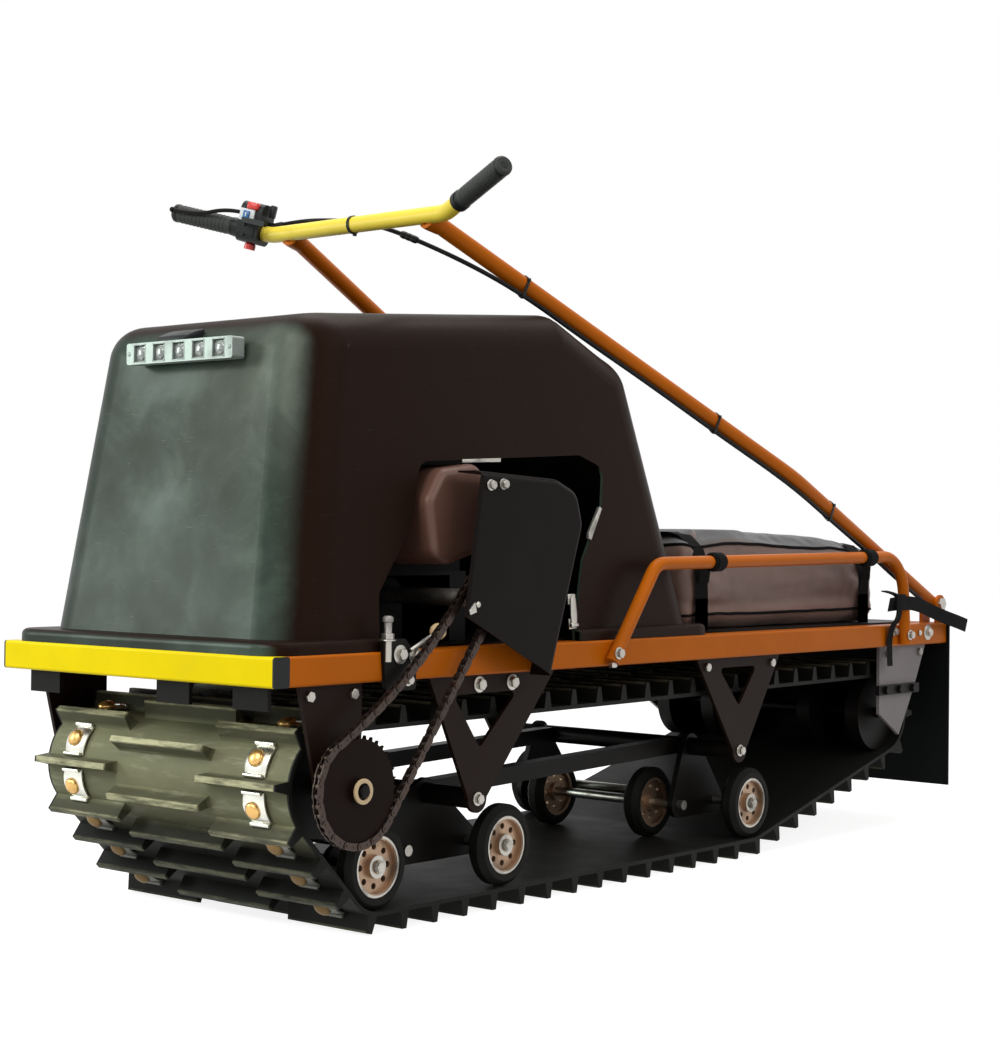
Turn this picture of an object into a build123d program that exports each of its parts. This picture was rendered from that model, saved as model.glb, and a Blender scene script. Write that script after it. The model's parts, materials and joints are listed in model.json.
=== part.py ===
"""Tracked snow tug: rubber track, steel frame, engine hood, cargo deck and fold-over handle.

Millimetres. +X is forward, +Y is the machine's left, +Z is up. The origin is on the ground,
under the middle of the overall length, which the tow hitch at the rear makes longer than the frame.
"""
from build123d import *
import os
from math import atan2, cos, degrees, hypot, pi, sin, sqrt

os.makedirs("parts", exist_ok=True)

# Frame of square tube
FRAME_LENGTH = 1800
FRAME_WIDTH = 560
FRAME_BOTTOM = 345
TUBE = 40
TUBE_CORNER = 4
FRONT_BEAM_DEPTH = 28
END_CAP = 3
CROSS_TUBE = 30
HITCH_REACH = 45
HITCH_WIDTH = 60
HITCH_THICKNESS = 10
HITCH_PIN_BORE = 20

FRAME_TOP = FRAME_BOTTOM + TUBE
FRONT = FRAME_LENGTH / 2
REAR = -FRONT
HALF_WIDTH = FRAME_WIDTH / 2
BEAM_INNER = HALF_WIDTH - TUBE
FRAME_MID = HITCH_REACH / 2
CROSS_MEMBER_AT = (FRONT - 200, FRONT - 470, FRONT - 810, REAR + 570, REAR + 260)
SEAT_GAP = 0.3

# Hood: a moulded shell, narrower at the top, with a rear shoulder under the folded handle
HOOD_WALL = 4
HOOD_BASE = (FRONT - 988, FRONT - 43)
HOOD_BASE_HALF = HALF_WIDTH - 18
HOOD_BASE_CORNER = 75
HOOD_TOP = (FRONT - 805, FRONT - 115)
HOOD_TOP_HEIGHT = (898, 839)
HOOD_TOP_HALF = HOOD_BASE_HALF - 36
HOOD_TOP_CORNER = 70
HOOD_TOP_ROUND = 55
RIM = (HOOD_BASE[0] - 16, HOOD_BASE[1] + 39)
RIM_HALF = HALF_WIDTH - 5
RIM_HEIGHT = 18
RIM_CORNER = 45
NOTCH = [(FRONT - x, z) for x, z in (
    (213, 380), (216, 462), (288, 556), (312, 645), (675, 668), (734, 650), (725, 590), (671, 507), (642, 400),
    (642, 380))]
NOTCH_ROUND = 22

# Floor sheet on the frame
FLOOR = 3
ENGINE_FLOOR = (HOOD_BASE[0] + 14, HOOD_BASE[1] - 15)
CARGO_FLOOR = (REAR + 50, RIM[0] - 6)
FLOOR_TOP = FRAME_TOP + FLOOR

# Lamp bar on the hood's front
LAMP_HALF = 110
LAMP_HEIGHT = 30
LAMP_CORNER = 4
LAMP_DEPTH = 22
LAMP_CENTRE_HEIGHT = HOOD_TOP_HEIGHT[1] - 45
LAMP_STAND_OFF = 30
LAMP_CELLS = 5
LAMP_CELL = 24
LAMP_CELL_PITCH = 41
LAMP_CELL_DEPTH = 8
LAMP_FOOT = (150, 14)

# Engine on its raised mount, and its pulley housing
ENGINE_X = (FRONT - 500, FRONT - 160)
ENGINE_Y = (95 - HALF_WIDTH, HALF_WIDTH - 115)
ENGINE_HEADROOM = 55
ENGINE_ROUND = 20
MOUNT_TOP = 490
MOUNT_PLATE = 6
MOUNT_LEG = 36
PULLEY_HOUSING = [(FRONT - x, z) for x, z in ((430, 648), (340, 636), (308, 590), (324, 512), (355, 500), (430, 520))]
PULLEY_HOUSING_OUT = HOOD_BASE_HALF
PULLEY_HOUSING_ROUND = 24

# Chain drive on the left side
CHAIN_Y = HALF_WIDTH + 20
CHAIN_PITCH = 12.7
CHAIN_WIDTH = 10
CHAIN_THICK = 8
WHEEL_TEETH = 36
PINION_TEETH = 16
SPROCKET_THICK = 5
TOOTH_HEIGHT = 5
AXLE_AT = (FRONT - 133, 207)
JACKSHAFT_AT = (FRONT - 375, 455)
CHAIN_SAG = 20
AXLE_RADIUS = 12.5
SHAFT_END = CHAIN_Y + 9
JACKSHAFT_FAR = ENGINE_Y[0] + 15
JACKSHAFT_BLOCK = 50
JACKSHAFT_BLOCK_WIDTH = 20
HUB_RADIUS = 15

# Guard over the belt drive: a bent sheet on the left side beam
GUARD = [(FRONT - x, z) for x, z in ((317, 433), (514, FRAME_BOTTOM - 4), (586, 560), (571, 608), (524, 626), (349, 633))]
GUARD_OUT = HALF_WIDTH + 42
GUARD_SHEET = 2.5
GUARD_ROUND = 30
GUARD_EDGE = 10
GUARD_REAR = FRONT - 500

# Rubber track
TRACK_WIDTH = FRAME_WIDTH - 60
BELT = 6
LUG = 24
LUG_PITCH = 64
LUG_FOOT = 17
LUG_SINK = 1
LUG_SLOPE = 80
LUG_BANDS = ((-0.5, -0.19, 0), (-0.19, 0.19, 0.5), (0.19, 0.5, 0))
DRIVE_RADIUS = 70
IDLER_AT = (REAR + 180, 217)
IDLER_RADIUS = 70
ROLLER_RADIUS = 60
BELT_INSIDE = BELT + LUG
ROLLER_HEIGHT = BELT_INSIDE + ROLLER_RADIUS
HALF_TRACK = TRACK_WIDTH / 2

# Road rollers: where along the track, and how far from its middle
OUTER_ROLLERS = (FRONT - 232, FRONT - 505, REAR + 637)
INNER_ROLLERS = (FRONT - 365, REAR + 745)
OUTER_ROLLER_Y = HALF_TRACK - 18
INNER_ROLLER_Y = HALF_TRACK - 145
ROLLER_WIDTH = 30
TYRE_ROUND = 8
RIM_RADIUS = 43
RIM_WIDTH = 24
RIM_WALL = 6
DISC_THICK = 10
DISC_HOLES = 8
DISC_HOLE_RADIUS = 4.5
DISC_HOLE_CIRCLE = 27
HUB_WIDTH = 24
ROLLER_AXLE_RADIUS = 8
AXLE_FIT = 0.3

# Suspension between the rollers
SWING_PLATE = 10
SWING_PLATE_Y = OUTER_ROLLER_Y - 67
SWING_EDGE = 22
SUSPENSION_RAIL_Y = SWING_PLATE_Y - 30
SUSPENSION_RAIL = 26
PIVOT_RADIUS = 15
FRONT_PIVOT = (FRONT - 412, 168)
REAR_PIVOT = (REAR + 710, 187)
HANGER_THICK = 6
HANGER_IN = HALF_WIDTH - 18
HANGER_TIP = 20
FRONT_HANGER_TOP = (FRONT - 307, FRONT - 586)
REAR_HANGER_TOP = (REAR + 840, REAR + 587)
HANGER_NECK = 19
FRONT_HANGER_WINDOW = [(FRONT - x, z) for x, z in ((358, 318), (500, 318), (416, 240))]
REAR_HANGER_WINDOW = [(REAR + x, z) for x, z in ((775, 328), (660, 328), (714, 262))]
WINDOW_ROUND = 6

# Plates that carry the drive axle and the rear idler
BEARING_PLATE = [(FRONT - x, z) for x, z in (
    (56, FRAME_BOTTOM), (173, FRAME_BOTTOM), (173, 200), (133, 162), (92, 200))]
TENSION_PLATE = [(REAR + x, z) for x, z in (
    (239, FRAME_BOTTOM), (62, FRAME_BOTTOM), (100, 275), (132, 224), (164, 177), (239, 220))]
BEARING_RADIUS = 34
BEARING_WIDTH = 14
IDLER_AXLE_RADIUS = 10
WHEEL_WIDTH = 28
DRIVE_WHEEL_Y = (HALF_TRACK - 140, HALF_TRACK - 35)

# Cargo deck: side rails, bag and mud flap
RAIL_RADIUS = 10.5
RAIL = [(FRONT - 698, FRAME_BOTTOM + 7), (FRONT - 812, 502), (REAR + 198, 514), (REAR + 183, FRAME_BOTTOM + 5)]
RAIL_BENDS = (38, 75)
BAG_X = (REAR + 138, RIM[0] - 8)
BAG_HALF = HALF_WIDTH - 68
BAG_TOP = 550
BAG_ROUND = 38
BAG_TOP_ROUND = 36
FLAP = 4
FLAP_HALF = HALF_WIDTH + 6
FLAP_BOTTOM = 69
FLAP_CLAMP = (25, 4)

# Fold-over handle: each side tube runs from its pivot over a knee to the handlebar
HANDLE_PIVOT = (REAR + 20, 422)
HANDLE_PIVOT_HALF = HALF_WIDTH - 20
HANDLE_TUBE = 13
HANDLE_KNEE = (REAR + 547, HALF_WIDTH - 12, HOOD_TOP_HEIGHT[0] - 248)
KNEE_BEND = 400
BAR_AT = (FRONT - 426, HOOD_TOP_HEIGHT[0] + 115)
BAR_TUBE_HALF = HALF_WIDTH - 136
HANDLE_CLEAR = 12
BAR_RADIUS = 12.5
BAR_STRAIGHT_HALF = HALF_WIDTH - 97
BAR_END = (BAR_AT[0] + 59, HALF_WIDTH + 61, BAR_AT[1] + 43)
BAR_BEND = 60
GRIP_RADIUS = 14
GRIP_LENGTH = {1: 126, -1: 112}
GRIP_CHAMFER = 3
GRIP_CAP = 4
EAR = 5
EAR_GAP = 0.5
EAR_RADIUS = 17
HINGE_PIN_RADIUS = 6
PIN_FIT = 0.3
PIN_HEAD = 6

# Controls on the handle: places are forward, left and up
HOUSING_AT = 14
HOUSING_LENGTH = 38
HOUSING_SIZE = (46, 64)
HOUSING_CORNER = 14
HOUSING_DROP = 12
BUTTON_RADIUS = 9
BUTTON_HEIGHT = 10
BUTTON_CHAMFER = 2
LEVER_THICK = 4
LEVER_ROUND = 3
LEVER_OUTLINE = [(0, -8), (0, 8), (-14, 12), (-26, 46), (-33, 44), (-22, -2)]
CABLE_RADIUS = 3.5
CABLE_OUTWARD = 9
CABLE_START = [(-12, -196, 16), (-22, -150, 22), (-25, -80, 18), (-27, 0, 6), (-30, 75, -18)]
CABLE_UNDER_FRONT = ((0.1, 30), (0.23, 20), (0.38, 22), (0.55, 20), (0.75, 22), (0.97, 20))
CABLE_UNDER_REAR = ((0.22, 22), (0.5, 20), (0.72, 22), (0.88, 18))
CABLE_BENDS = (25, 30, 30, 40, 40, 60) + (100,) * 7

# Small parts on the frame
FRONT_BRACKET_Y = (67 - HALF_WIDTH, HALF_WIDTH - 218, HALF_WIDTH - 67)
FRONT_BRACKET = (66, 32)
CLAMP_X = (REAR + 100, REAR + 254)
CLAMP_AT = 264
CLAMP_HEIGHT = 18
CLAMP_CORNER = 3
CLAMP_DEPTH = 8
ADJUSTER = [(FRONT - x, z) for x, z in ((260, 332), (200, 332), (194, 402), (238, 402), (260, 380))]
ADJUSTER_PLATE = 6
ADJUSTER_CORNER = 6
ADJUSTER_BOLT = (FRONT - 203, 372, 428)
BOLT_RADIUS = 5
LEVER_FOOT = (FRONT - 244, FRAME_TOP + 1)
LEVER_RADIUS = 3
KNOB_AT = (FRONT - 300, FRAME_TOP + 25)
KNOB_RADIUS = 11
STRAP_AT = (BAG_X[1] - 48, BAG_X[0] + 58)
STRAP_WIDTH = 38
STRAP_THICK = 2.5



def side_plane(y):
    """A plane seen from the machine's right: x is forward of the frame's middle, y is height."""
    return Plane(origin=(FRAME_MID, y, 0), x_dir=(1, 0, 0), z_dir=(0, -1, 0))


def plan_plane(z):
    """A level plane at height z, with x forward of the frame's middle."""
    return Plane(origin=(FRAME_MID, 0, z), x_dir=(1, 0, 0), z_dir=(0, 0, 1))


def cross_plane(x):
    """An upright plane across the machine: x is the machine's left, y is height."""
    return Plane(origin=(FRAME_MID + x, 0, 0), x_dir=(0, 1, 0), z_dir=(1, 0, 0))


def span(low, high):
    """Length and middle of a range."""
    return high - low, (low + high) / 2


def save(piece, label):
    """Label a finished piece and write its file."""
    piece.label = label
    export_step(piece, f"parts/{label}.step")


# Frame
beam_length = FRONT - FRONT_BEAM_DEPTH - REAR

with BuildPart() as side_beam_left:
    with BuildSketch(cross_plane(REAR)):
        with Locations((HALF_WIDTH - TUBE / 2, FRAME_BOTTOM + TUBE / 2)):
            RectangleRounded(TUBE, TUBE, TUBE_CORNER)
    extrude(amount=beam_length)
save(side_beam_left.part, "side_beam_left")

with BuildPart() as side_beam_right:
    add(side_beam_left.part)
    mirror(about=Plane.XZ, mode=Mode.REPLACE)
save(side_beam_right.part, "side_beam_right")

with BuildPart() as front_beam:
    with BuildSketch(side_plane(HALF_WIDTH - END_CAP)):
        with Locations((FRONT - FRONT_BEAM_DEPTH / 2, FRAME_BOTTOM + TUBE / 2)):
            RectangleRounded(FRONT_BEAM_DEPTH, TUBE, TUBE_CORNER)
    extrude(amount=FRAME_WIDTH - 2 * END_CAP)
save(front_beam.part, "front_beam")

with BuildPart() as beam_caps:
    with BuildSketch(side_plane(HALF_WIDTH)):
        with Locations((FRONT - FRONT_BEAM_DEPTH / 2, FRAME_BOTTOM + TUBE / 2)):
            RectangleRounded(FRONT_BEAM_DEPTH, TUBE, TUBE_CORNER)
    extrude(amount=END_CAP)
    mirror(about=Plane.XZ)
save(beam_caps.part, "beam_caps")

with BuildPart() as rear_beam:
    with BuildSketch(side_plane(BEAM_INNER)):
        with Locations((REAR + TUBE / 2, FRAME_BOTTOM + TUBE / 2)):
            RectangleRounded(TUBE, TUBE, TUBE_CORNER)
    extrude(amount=2 * BEAM_INNER)
save(rear_beam.part, "rear_beam")

with BuildPart() as cross_members:
    with BuildSketch(side_plane(BEAM_INNER)):
        with Locations(*[(x, FRAME_TOP - CROSS_TUBE / 2) for x in CROSS_MEMBER_AT]):
            Rectangle(CROSS_TUBE, CROSS_TUBE)
    extrude(amount=2 * BEAM_INNER)
save(cross_members.part, "cross_members")

with BuildPart() as floor_plates:
    for low, high in (ENGINE_FLOOR, CARGO_FLOOR):
        length, middle = span(low, high)
        with BuildSketch(plan_plane(FRAME_TOP)):
            with Locations((middle, 0)):
                RectangleRounded(length, 2 * BEAM_INNER, HOOD_BASE_CORNER)
        extrude(amount=FLOOR)
save(floor_plates.part, "floor_plates")

# Tow hitch: a plate on the rear beam with an upright pin bore
with BuildPart() as tow_hitch:
    with BuildSketch(plan_plane(FRAME_TOP)):
        with BuildLine():
            hitch_side = REAR - HITCH_REACH + HITCH_WIDTH / 2
            Polyline((hitch_side, HITCH_WIDTH / 2), (REAR + TUBE, HITCH_WIDTH / 2),
                     (REAR + TUBE, -HITCH_WIDTH / 2), (hitch_side, -HITCH_WIDTH / 2))
            ThreePointArc((hitch_side, -HITCH_WIDTH / 2), (REAR - HITCH_REACH, 0),
                          (hitch_side, HITCH_WIDTH / 2))
        make_face()
        with Locations((hitch_side, 0)):
            Circle(HITCH_PIN_BORE / 2, mode=Mode.SUBTRACT)
    extrude(amount=HITCH_THICKNESS)
save(tow_hitch.part, "tow_hitch")


# Hood
def shoulder_plane(inset):
    """Plane just under the folded handle's tubes, facing up and back."""
    rise = BAR_AT[1] - HANDLE_KNEE[2]
    run = BAR_AT[0] - HANDLE_KNEE[0]
    along = Vector(run, 0, rise).normalized()
    square = Vector(-along.Z, 0, along.X)
    place = Vector(FRAME_MID + BAR_AT[0], 0, BAR_AT[1]) - square * (HANDLE_TUBE + HANDLE_CLEAR + inset)
    return Plane(origin=place, x_dir=along, z_dir=square)


def hood_form(inset):
    """Solid between the hood's foot and its tilted top, drawn in by the inset."""
    foot = FRAME_TOP
    top_rise = HOOD_TOP_HEIGHT[1] - HOOD_TOP_HEIGHT[0]
    top_run = HOOD_TOP[1] - HOOD_TOP[0]
    tilt = atan2(top_rise, top_run)
    top_length = hypot(top_run, top_rise)
    top_middle = (FRAME_MID + sum(HOOD_TOP) / 2, 0, sum(HOOD_TOP_HEIGHT) / 2 - inset)
    top_plane = Plane(origin=top_middle, x_dir=(cos(tilt), 0, sin(tilt)), z_dir=(-sin(tilt), 0, cos(tilt)))
    length, middle = span(*HOOD_BASE)
    with BuildPart() as form:
        with BuildSketch(plan_plane(foot)):
            with Locations((middle, 0)):
                RectangleRounded(length - 2 * inset, 2 * (HOOD_BASE_HALF - inset), HOOD_BASE_CORNER - inset)
        with BuildSketch(top_plane):
            RectangleRounded(top_length - 2 * inset, 2 * (HOOD_TOP_HALF - inset), HOOD_TOP_CORNER - inset)
        loft()
        split(bisect_by=shoulder_plane(inset), keep=Keep.BOTTOM)
        upper = form.faces().filter_by(lambda face: face.normal_at().Z > 0.7)
        fillet(upper.edges(), HOOD_TOP_ROUND - inset)
    return form.part


hood_outside = hood_form(0)
hood_inside = hood_form(HOOD_WALL)
rim_length, rim_middle = span(*RIM)

with BuildPart() as hood:
    with BuildSketch(plan_plane(FRAME_TOP)):
        with Locations((rim_middle, 0)):
            RectangleRounded(rim_length, 2 * RIM_HALF, RIM_CORNER)
    extrude(amount=RIM_HEIGHT)
    fillet(hood.faces().sort_by(Axis.Z)[-1].edges(), RIM_HEIGHT / 2)
    with BuildSketch(plan_plane(FRAME_TOP)):
        with Locations((rim_middle, 0)):
            RectangleRounded(rim_length - 2 * HOOD_WALL, 2 * (RIM_HALF - HOOD_WALL), RIM_CORNER - HOOD_WALL)
    extrude(amount=RIM_HEIGHT - HOOD_WALL, mode=Mode.SUBTRACT)
    add(hood_outside)
    add(hood_inside, mode=Mode.SUBTRACT)
    with BuildSketch(side_plane(HALF_WIDTH)):
        with BuildLine():
            Polyline(*NOTCH, close=True)
        make_face()
        fillet([v for v in vertices() if v.Y > FRAME_TOP + TUBE], NOTCH_ROUND)
    extrude(amount=HALF_WIDTH - HOOD_TOP_HALF / 2, mode=Mode.SUBTRACT)
save(hood.part, "hood")

# Lamp bar
hood_share = (LAMP_CENTRE_HEIGHT - FRAME_TOP) / (HOOD_TOP_HEIGHT[1] - FRAME_TOP)
LAMP_FACE_AT = HOOD_BASE[1] + (HOOD_TOP[1] - HOOD_BASE[1]) * hood_share + LAMP_STAND_OFF

with BuildPart() as light_bar:
    with BuildSketch(cross_plane(LAMP_FACE_AT)):
        with Locations((0, LAMP_CENTRE_HEIGHT)):
            RectangleRounded(2 * LAMP_HALF, LAMP_HEIGHT, LAMP_CORNER)
    extrude(amount=-LAMP_DEPTH)
    with BuildSketch(cross_plane(LAMP_FACE_AT)):
        with Locations((0, LAMP_CENTRE_HEIGHT)):
            with GridLocations(LAMP_CELL_PITCH, 0, LAMP_CELLS, 1):
                Rectangle(LAMP_CELL, LAMP_CELL)
    extrude(amount=-LAMP_CELL_DEPTH, mode=Mode.SUBTRACT)
    with BuildSketch(cross_plane(LAMP_FACE_AT - LAMP_DEPTH)):
        with Locations((0, LAMP_CENTRE_HEIGHT)):
            Rectangle(*LAMP_FOOT)
    extrude(amount=-LAMP_DEPTH)
    add(hood_outside, mode=Mode.SUBTRACT)
save(light_bar.part, "light_bar")

# Engine, its mount and its pulley housing
engine_length, engine_middle = span(*ENGINE_X)
engine_width, engine_side = span(*ENGINE_Y)


def hood_top_at(x):
    """Height of the hood's tilted top at x."""
    share = (x - HOOD_TOP[0]) / (HOOD_TOP[1] - HOOD_TOP[0])
    return HOOD_TOP_HEIGHT[0] + (HOOD_TOP_HEIGHT[1] - HOOD_TOP_HEIGHT[0]) * share


ENGINE_TOP = min(hood_top_at(x) for x in ENGINE_X) - ENGINE_HEADROOM

with BuildPart() as engine_mount:
    with BuildSketch(plan_plane(MOUNT_TOP)):
        with Locations((engine_middle, engine_side)):
            Rectangle(engine_length, engine_width)
    extrude(amount=-MOUNT_PLATE)
    with BuildSketch(plan_plane(FLOOR_TOP)):
        with Locations((engine_middle, engine_side)):
            with GridLocations(engine_length - MOUNT_LEG, 0, 2, 1):
                Rectangle(MOUNT_LEG, engine_width)
    extrude(amount=MOUNT_TOP - MOUNT_PLATE - FLOOR_TOP)
save(engine_mount.part, "engine_mount")

with BuildPart() as engine:
    with BuildSketch(plan_plane(MOUNT_TOP)):
        with Locations((engine_middle, engine_side)):
            RectangleRounded(engine_length, engine_width, ENGINE_ROUND)
    extrude(amount=ENGINE_TOP - MOUNT_TOP)
    chamfer(engine.faces().sort_by(Axis.Z)[-1].edges(), ENGINE_ROUND)
save(engine.part, "engine")

with BuildPart() as pulley_housing:
    with BuildSketch(side_plane(PULLEY_HOUSING_OUT)):
        with BuildLine():
            Polyline(*PULLEY_HOUSING, close=True)
        make_face()
        fillet(vertices(), PULLEY_HOUSING_ROUND)
    extrude(amount=PULLEY_HOUSING_OUT - ENGINE_Y[1])
    fillet(pulley_housing.faces().sort_by(Axis.Y)[-1].edges(), PULLEY_HOUSING_ROUND / 2)
save(pulley_housing.part, "pulley_housing")

# Guard: a pan of sheet, open below and in front, whose lip stands on the side beam
def guard_face(forward, down, rounding):
    """Guard outline moved forward and down, with its two rear corners rounded."""
    with BuildLine() as line:
        Polyline(*[(x + forward, z - down) for x, z in GUARD], close=True)
    make_face(line.line.edges())
    fillet([v for v in vertices() if v.X < GUARD_REAR and v.Y > JACKSHAFT_AT[1]], rounding)


with BuildPart() as belt_guard:
    with BuildSketch(side_plane(GUARD_OUT)):
        guard_face(0, 0, GUARD_ROUND)
    extrude(amount=GUARD_OUT - HALF_WIDTH)
    guard_outline = belt_guard.faces().sort_by(Axis.Y)[-1]
    fillet([e for e in guard_outline.edges()
            if e.center().Z > JACKSHAFT_AT[1] and e.center().X < FRAME_MID + JACKSHAFT_AT[0] + JACKSHAFT_BLOCK],
           GUARD_EDGE)
    with BuildSketch(side_plane(GUARD_OUT - GUARD_SHEET)):
        guard_face(1.3 * GUARD_SHEET, GUARD_SHEET, GUARD_ROUND - GUARD_SHEET)
    extrude(amount=GUARD_OUT - HALF_WIDTH, mode=Mode.SUBTRACT)
save(belt_guard.part, "belt_guard")


# Chain drive
def pitch_radius(teeth):
    return CHAIN_PITCH / 2 / sin(pi / teeth)


def sprocket_face(teeth):
    """Toothed outline of a chain wheel, drawn about the sketch's origin."""
    root = pitch_radius(teeth) - TOOTH_HEIGHT
    Circle(root)
    with PolarLocations(root, teeth):
        Trapezoid(CHAIN_PITCH * 0.55, 2 * TOOTH_HEIGHT, 72, rotation=-90)


def chain_plane(place, y):
    """Plane facing the machine's left, with its origin on a shaft."""
    return Plane(origin=(FRAME_MID + place[0], y, place[1]), x_dir=(1, 0, 0), z_dir=(0, -1, 0))


with BuildPart() as drive_sprocket:
    with BuildSketch(chain_plane(AXLE_AT, CHAIN_Y + SPROCKET_THICK / 2)):
        sprocket_face(WHEEL_TEETH)
    extrude(amount=SPROCKET_THICK)
    with BuildSketch(chain_plane(AXLE_AT, SHAFT_END)):
        Circle(HUB_RADIUS)
        Circle(AXLE_RADIUS, mode=Mode.SUBTRACT)
    extrude(amount=SHAFT_END - (HANGER_IN + HANGER_THICK + BEARING_WIDTH + 1))
    with BuildSketch(chain_plane(AXLE_AT, SHAFT_END)):
        Circle(AXLE_RADIUS)
    extrude(amount=SHAFT_END - HALF_WIDTH, mode=Mode.SUBTRACT)
save(drive_sprocket.part, "drive_sprocket")

with BuildPart() as jackshaft:
    with BuildSketch(chain_plane(JACKSHAFT_AT, SHAFT_END)):
        Circle(AXLE_RADIUS)
    extrude(amount=SHAFT_END - JACKSHAFT_FAR)
    with BuildSketch(chain_plane(JACKSHAFT_AT, CHAIN_Y + SPROCKET_THICK / 2)):
        sprocket_face(PINION_TEETH)
    extrude(amount=SPROCKET_THICK)
save(jackshaft.part, "jackshaft")

with BuildPart() as jackshaft_bearings:
    for y in (ENGINE_Y[1] - MOUNT_LEG, JACKSHAFT_FAR + MOUNT_LEG):
        with BuildSketch(chain_plane(JACKSHAFT_AT, y)):
            Circle(JACKSHAFT_BLOCK / 2)
        extrude(amount=JACKSHAFT_BLOCK_WIDTH)
        with BuildSketch(chain_plane((JACKSHAFT_AT[0], FLOOR_TOP), y)):
            Rectangle(JACKSHAFT_BLOCK, JACKSHAFT_AT[1] - FLOOR_TOP, align=(Align.CENTER, Align.MIN))
        extrude(amount=JACKSHAFT_BLOCK_WIDTH)
    with BuildSketch(chain_plane(JACKSHAFT_AT, HALF_WIDTH)):
        Circle(AXLE_RADIUS + AXLE_FIT)
    extrude(amount=FRAME_WIDTH, mode=Mode.SUBTRACT)
save(jackshaft_bearings.part, "jackshaft_bearings")


def belt_points(first, first_radius, second, second_radius):
    """The two straight runs of an open belt round two wheels, the upper one first."""
    dx, dz = second[0] - first[0], second[1] - first[1]
    distance = hypot(dx, dz)
    along = atan2(dz, dx)
    lean = atan2(first_radius - second_radius, sqrt(distance ** 2 - (first_radius - second_radius) ** 2))
    runs = []
    for side in (1, -1):
        angle = along + side * (pi / 2 - lean)
        runs.append([(place[0] + radius * cos(angle), place[1] + radius * sin(angle))
                     for place, radius in ((first, first_radius), (second, second_radius))])
    return sorted(runs, key=lambda run: -run[0][1])


def chain_loop(offset):
    """Closed line round both sprockets, with its upper run hanging by the sag."""
    wheel = pitch_radius(WHEEL_TEETH) + offset
    pinion = pitch_radius(PINION_TEETH) + offset
    upper, lower = belt_points(AXLE_AT, wheel, JACKSHAFT_AT, pinion)
    away = atan2(AXLE_AT[1] - JACKSHAFT_AT[1], AXLE_AT[0] - JACKSHAFT_AT[0])
    wheel_far = (AXLE_AT[0] + wheel * cos(away), AXLE_AT[1] + wheel * sin(away))
    pinion_far = (JACKSHAFT_AT[0] - pinion * cos(away), JACKSHAFT_AT[1] - pinion * sin(away))
    sagged = ((upper[0][0] + upper[1][0]) / 2 + CHAIN_SAG * sin(away),
              (upper[0][1] + upper[1][1]) / 2 - CHAIN_SAG * cos(away))
    ThreePointArc(upper[0], sagged, upper[1])
    ThreePointArc(upper[1], pinion_far, lower[1])
    Line(lower[1], lower[0])
    ThreePointArc(lower[0], wheel_far, upper[0])


with BuildPart() as drive_chain:
    with BuildSketch(side_plane(CHAIN_Y + CHAIN_WIDTH / 2)):
        with BuildLine():
            chain_loop(TOOTH_HEIGHT + CHAIN_THICK)
        make_face()
        with BuildLine(mode=Mode.PRIVATE) as inner_loop:
            chain_loop(TOOTH_HEIGHT)
        make_face(inner_loop.edges(), mode=Mode.SUBTRACT)
    extrude(amount=CHAIN_WIDTH)
save(drive_chain.part, "drive_chain")

# Drive axle with the wheels that turn the track
with BuildPart() as drive_axle:
    with BuildSketch(chain_plane(AXLE_AT, SHAFT_END)):
        Circle(AXLE_RADIUS)
    extrude(amount=SHAFT_END + HANGER_IN + HANGER_THICK + BEARING_WIDTH)
    for y in DRIVE_WHEEL_Y:
        for side in (1, -1):
            with BuildSketch(chain_plane(AXLE_AT, side * y + WHEEL_WIDTH / 2)):
                Circle(DRIVE_RADIUS - SEAT_GAP)
            extrude(amount=WHEEL_WIDTH)
save(drive_axle.part, "drive_axle")

with BuildPart() as idler_axle:
    with BuildSketch(chain_plane(IDLER_AT, HANGER_IN)):
        Circle(IDLER_AXLE_RADIUS)
    extrude(amount=2 * HANGER_IN)
    for y in DRIVE_WHEEL_Y:
        for side in (1, -1):
            with BuildSketch(chain_plane(IDLER_AT, side * y + WHEEL_WIDTH / 2)):
                Circle(IDLER_RADIUS - SEAT_GAP)
            extrude(amount=WHEEL_WIDTH)
save(idler_axle.part, "idler_axle")


def hanging_plate(outline, window, tip, bore):
    """A pair of flat plates under the side beams, from an outline in side view."""
    with BuildPart() as plates:
        with BuildSketch(side_plane(HANGER_IN + HANGER_THICK)):
            with BuildLine():
                Polyline(*outline, close=True)
            make_face()
            if tip:
                with Locations(tip):
                    Circle(HANGER_TIP)
            if window:
                with BuildLine(mode=Mode.PRIVATE) as cut:
                    FilletPolyline(*window, radius=WINDOW_ROUND, close=True)
                make_face(cut.edges(), mode=Mode.SUBTRACT)
            if bore:
                place, radius = bore
                with Locations(place):
                    Circle(radius, mode=Mode.SUBTRACT)
        extrude(amount=HANGER_THICK)
        mirror(about=Plane.XZ)
    return plates.part


def hanger_outline(top, pivot):
    """V shape from two points under the beam to a narrow neck beside the pivot."""
    front, back = top
    return [(front, FRAME_BOTTOM), (back, FRAME_BOTTOM), (pivot[0] - HANGER_NECK, pivot[1]),
            (pivot[0] + HANGER_NECK, pivot[1])]


save(hanging_plate(hanger_outline(FRONT_HANGER_TOP, FRONT_PIVOT), FRONT_HANGER_WINDOW, FRONT_PIVOT, None),
     "hanger_front")
save(hanging_plate(hanger_outline(REAR_HANGER_TOP, REAR_PIVOT), REAR_HANGER_WINDOW, REAR_PIVOT, None),
     "hanger_rear")
save(hanging_plate(BEARING_PLATE, None, None, (AXLE_AT, AXLE_RADIUS + AXLE_FIT)), "bearing_plates")
save(hanging_plate(TENSION_PLATE, None, None, None), "tension_plates")

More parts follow.
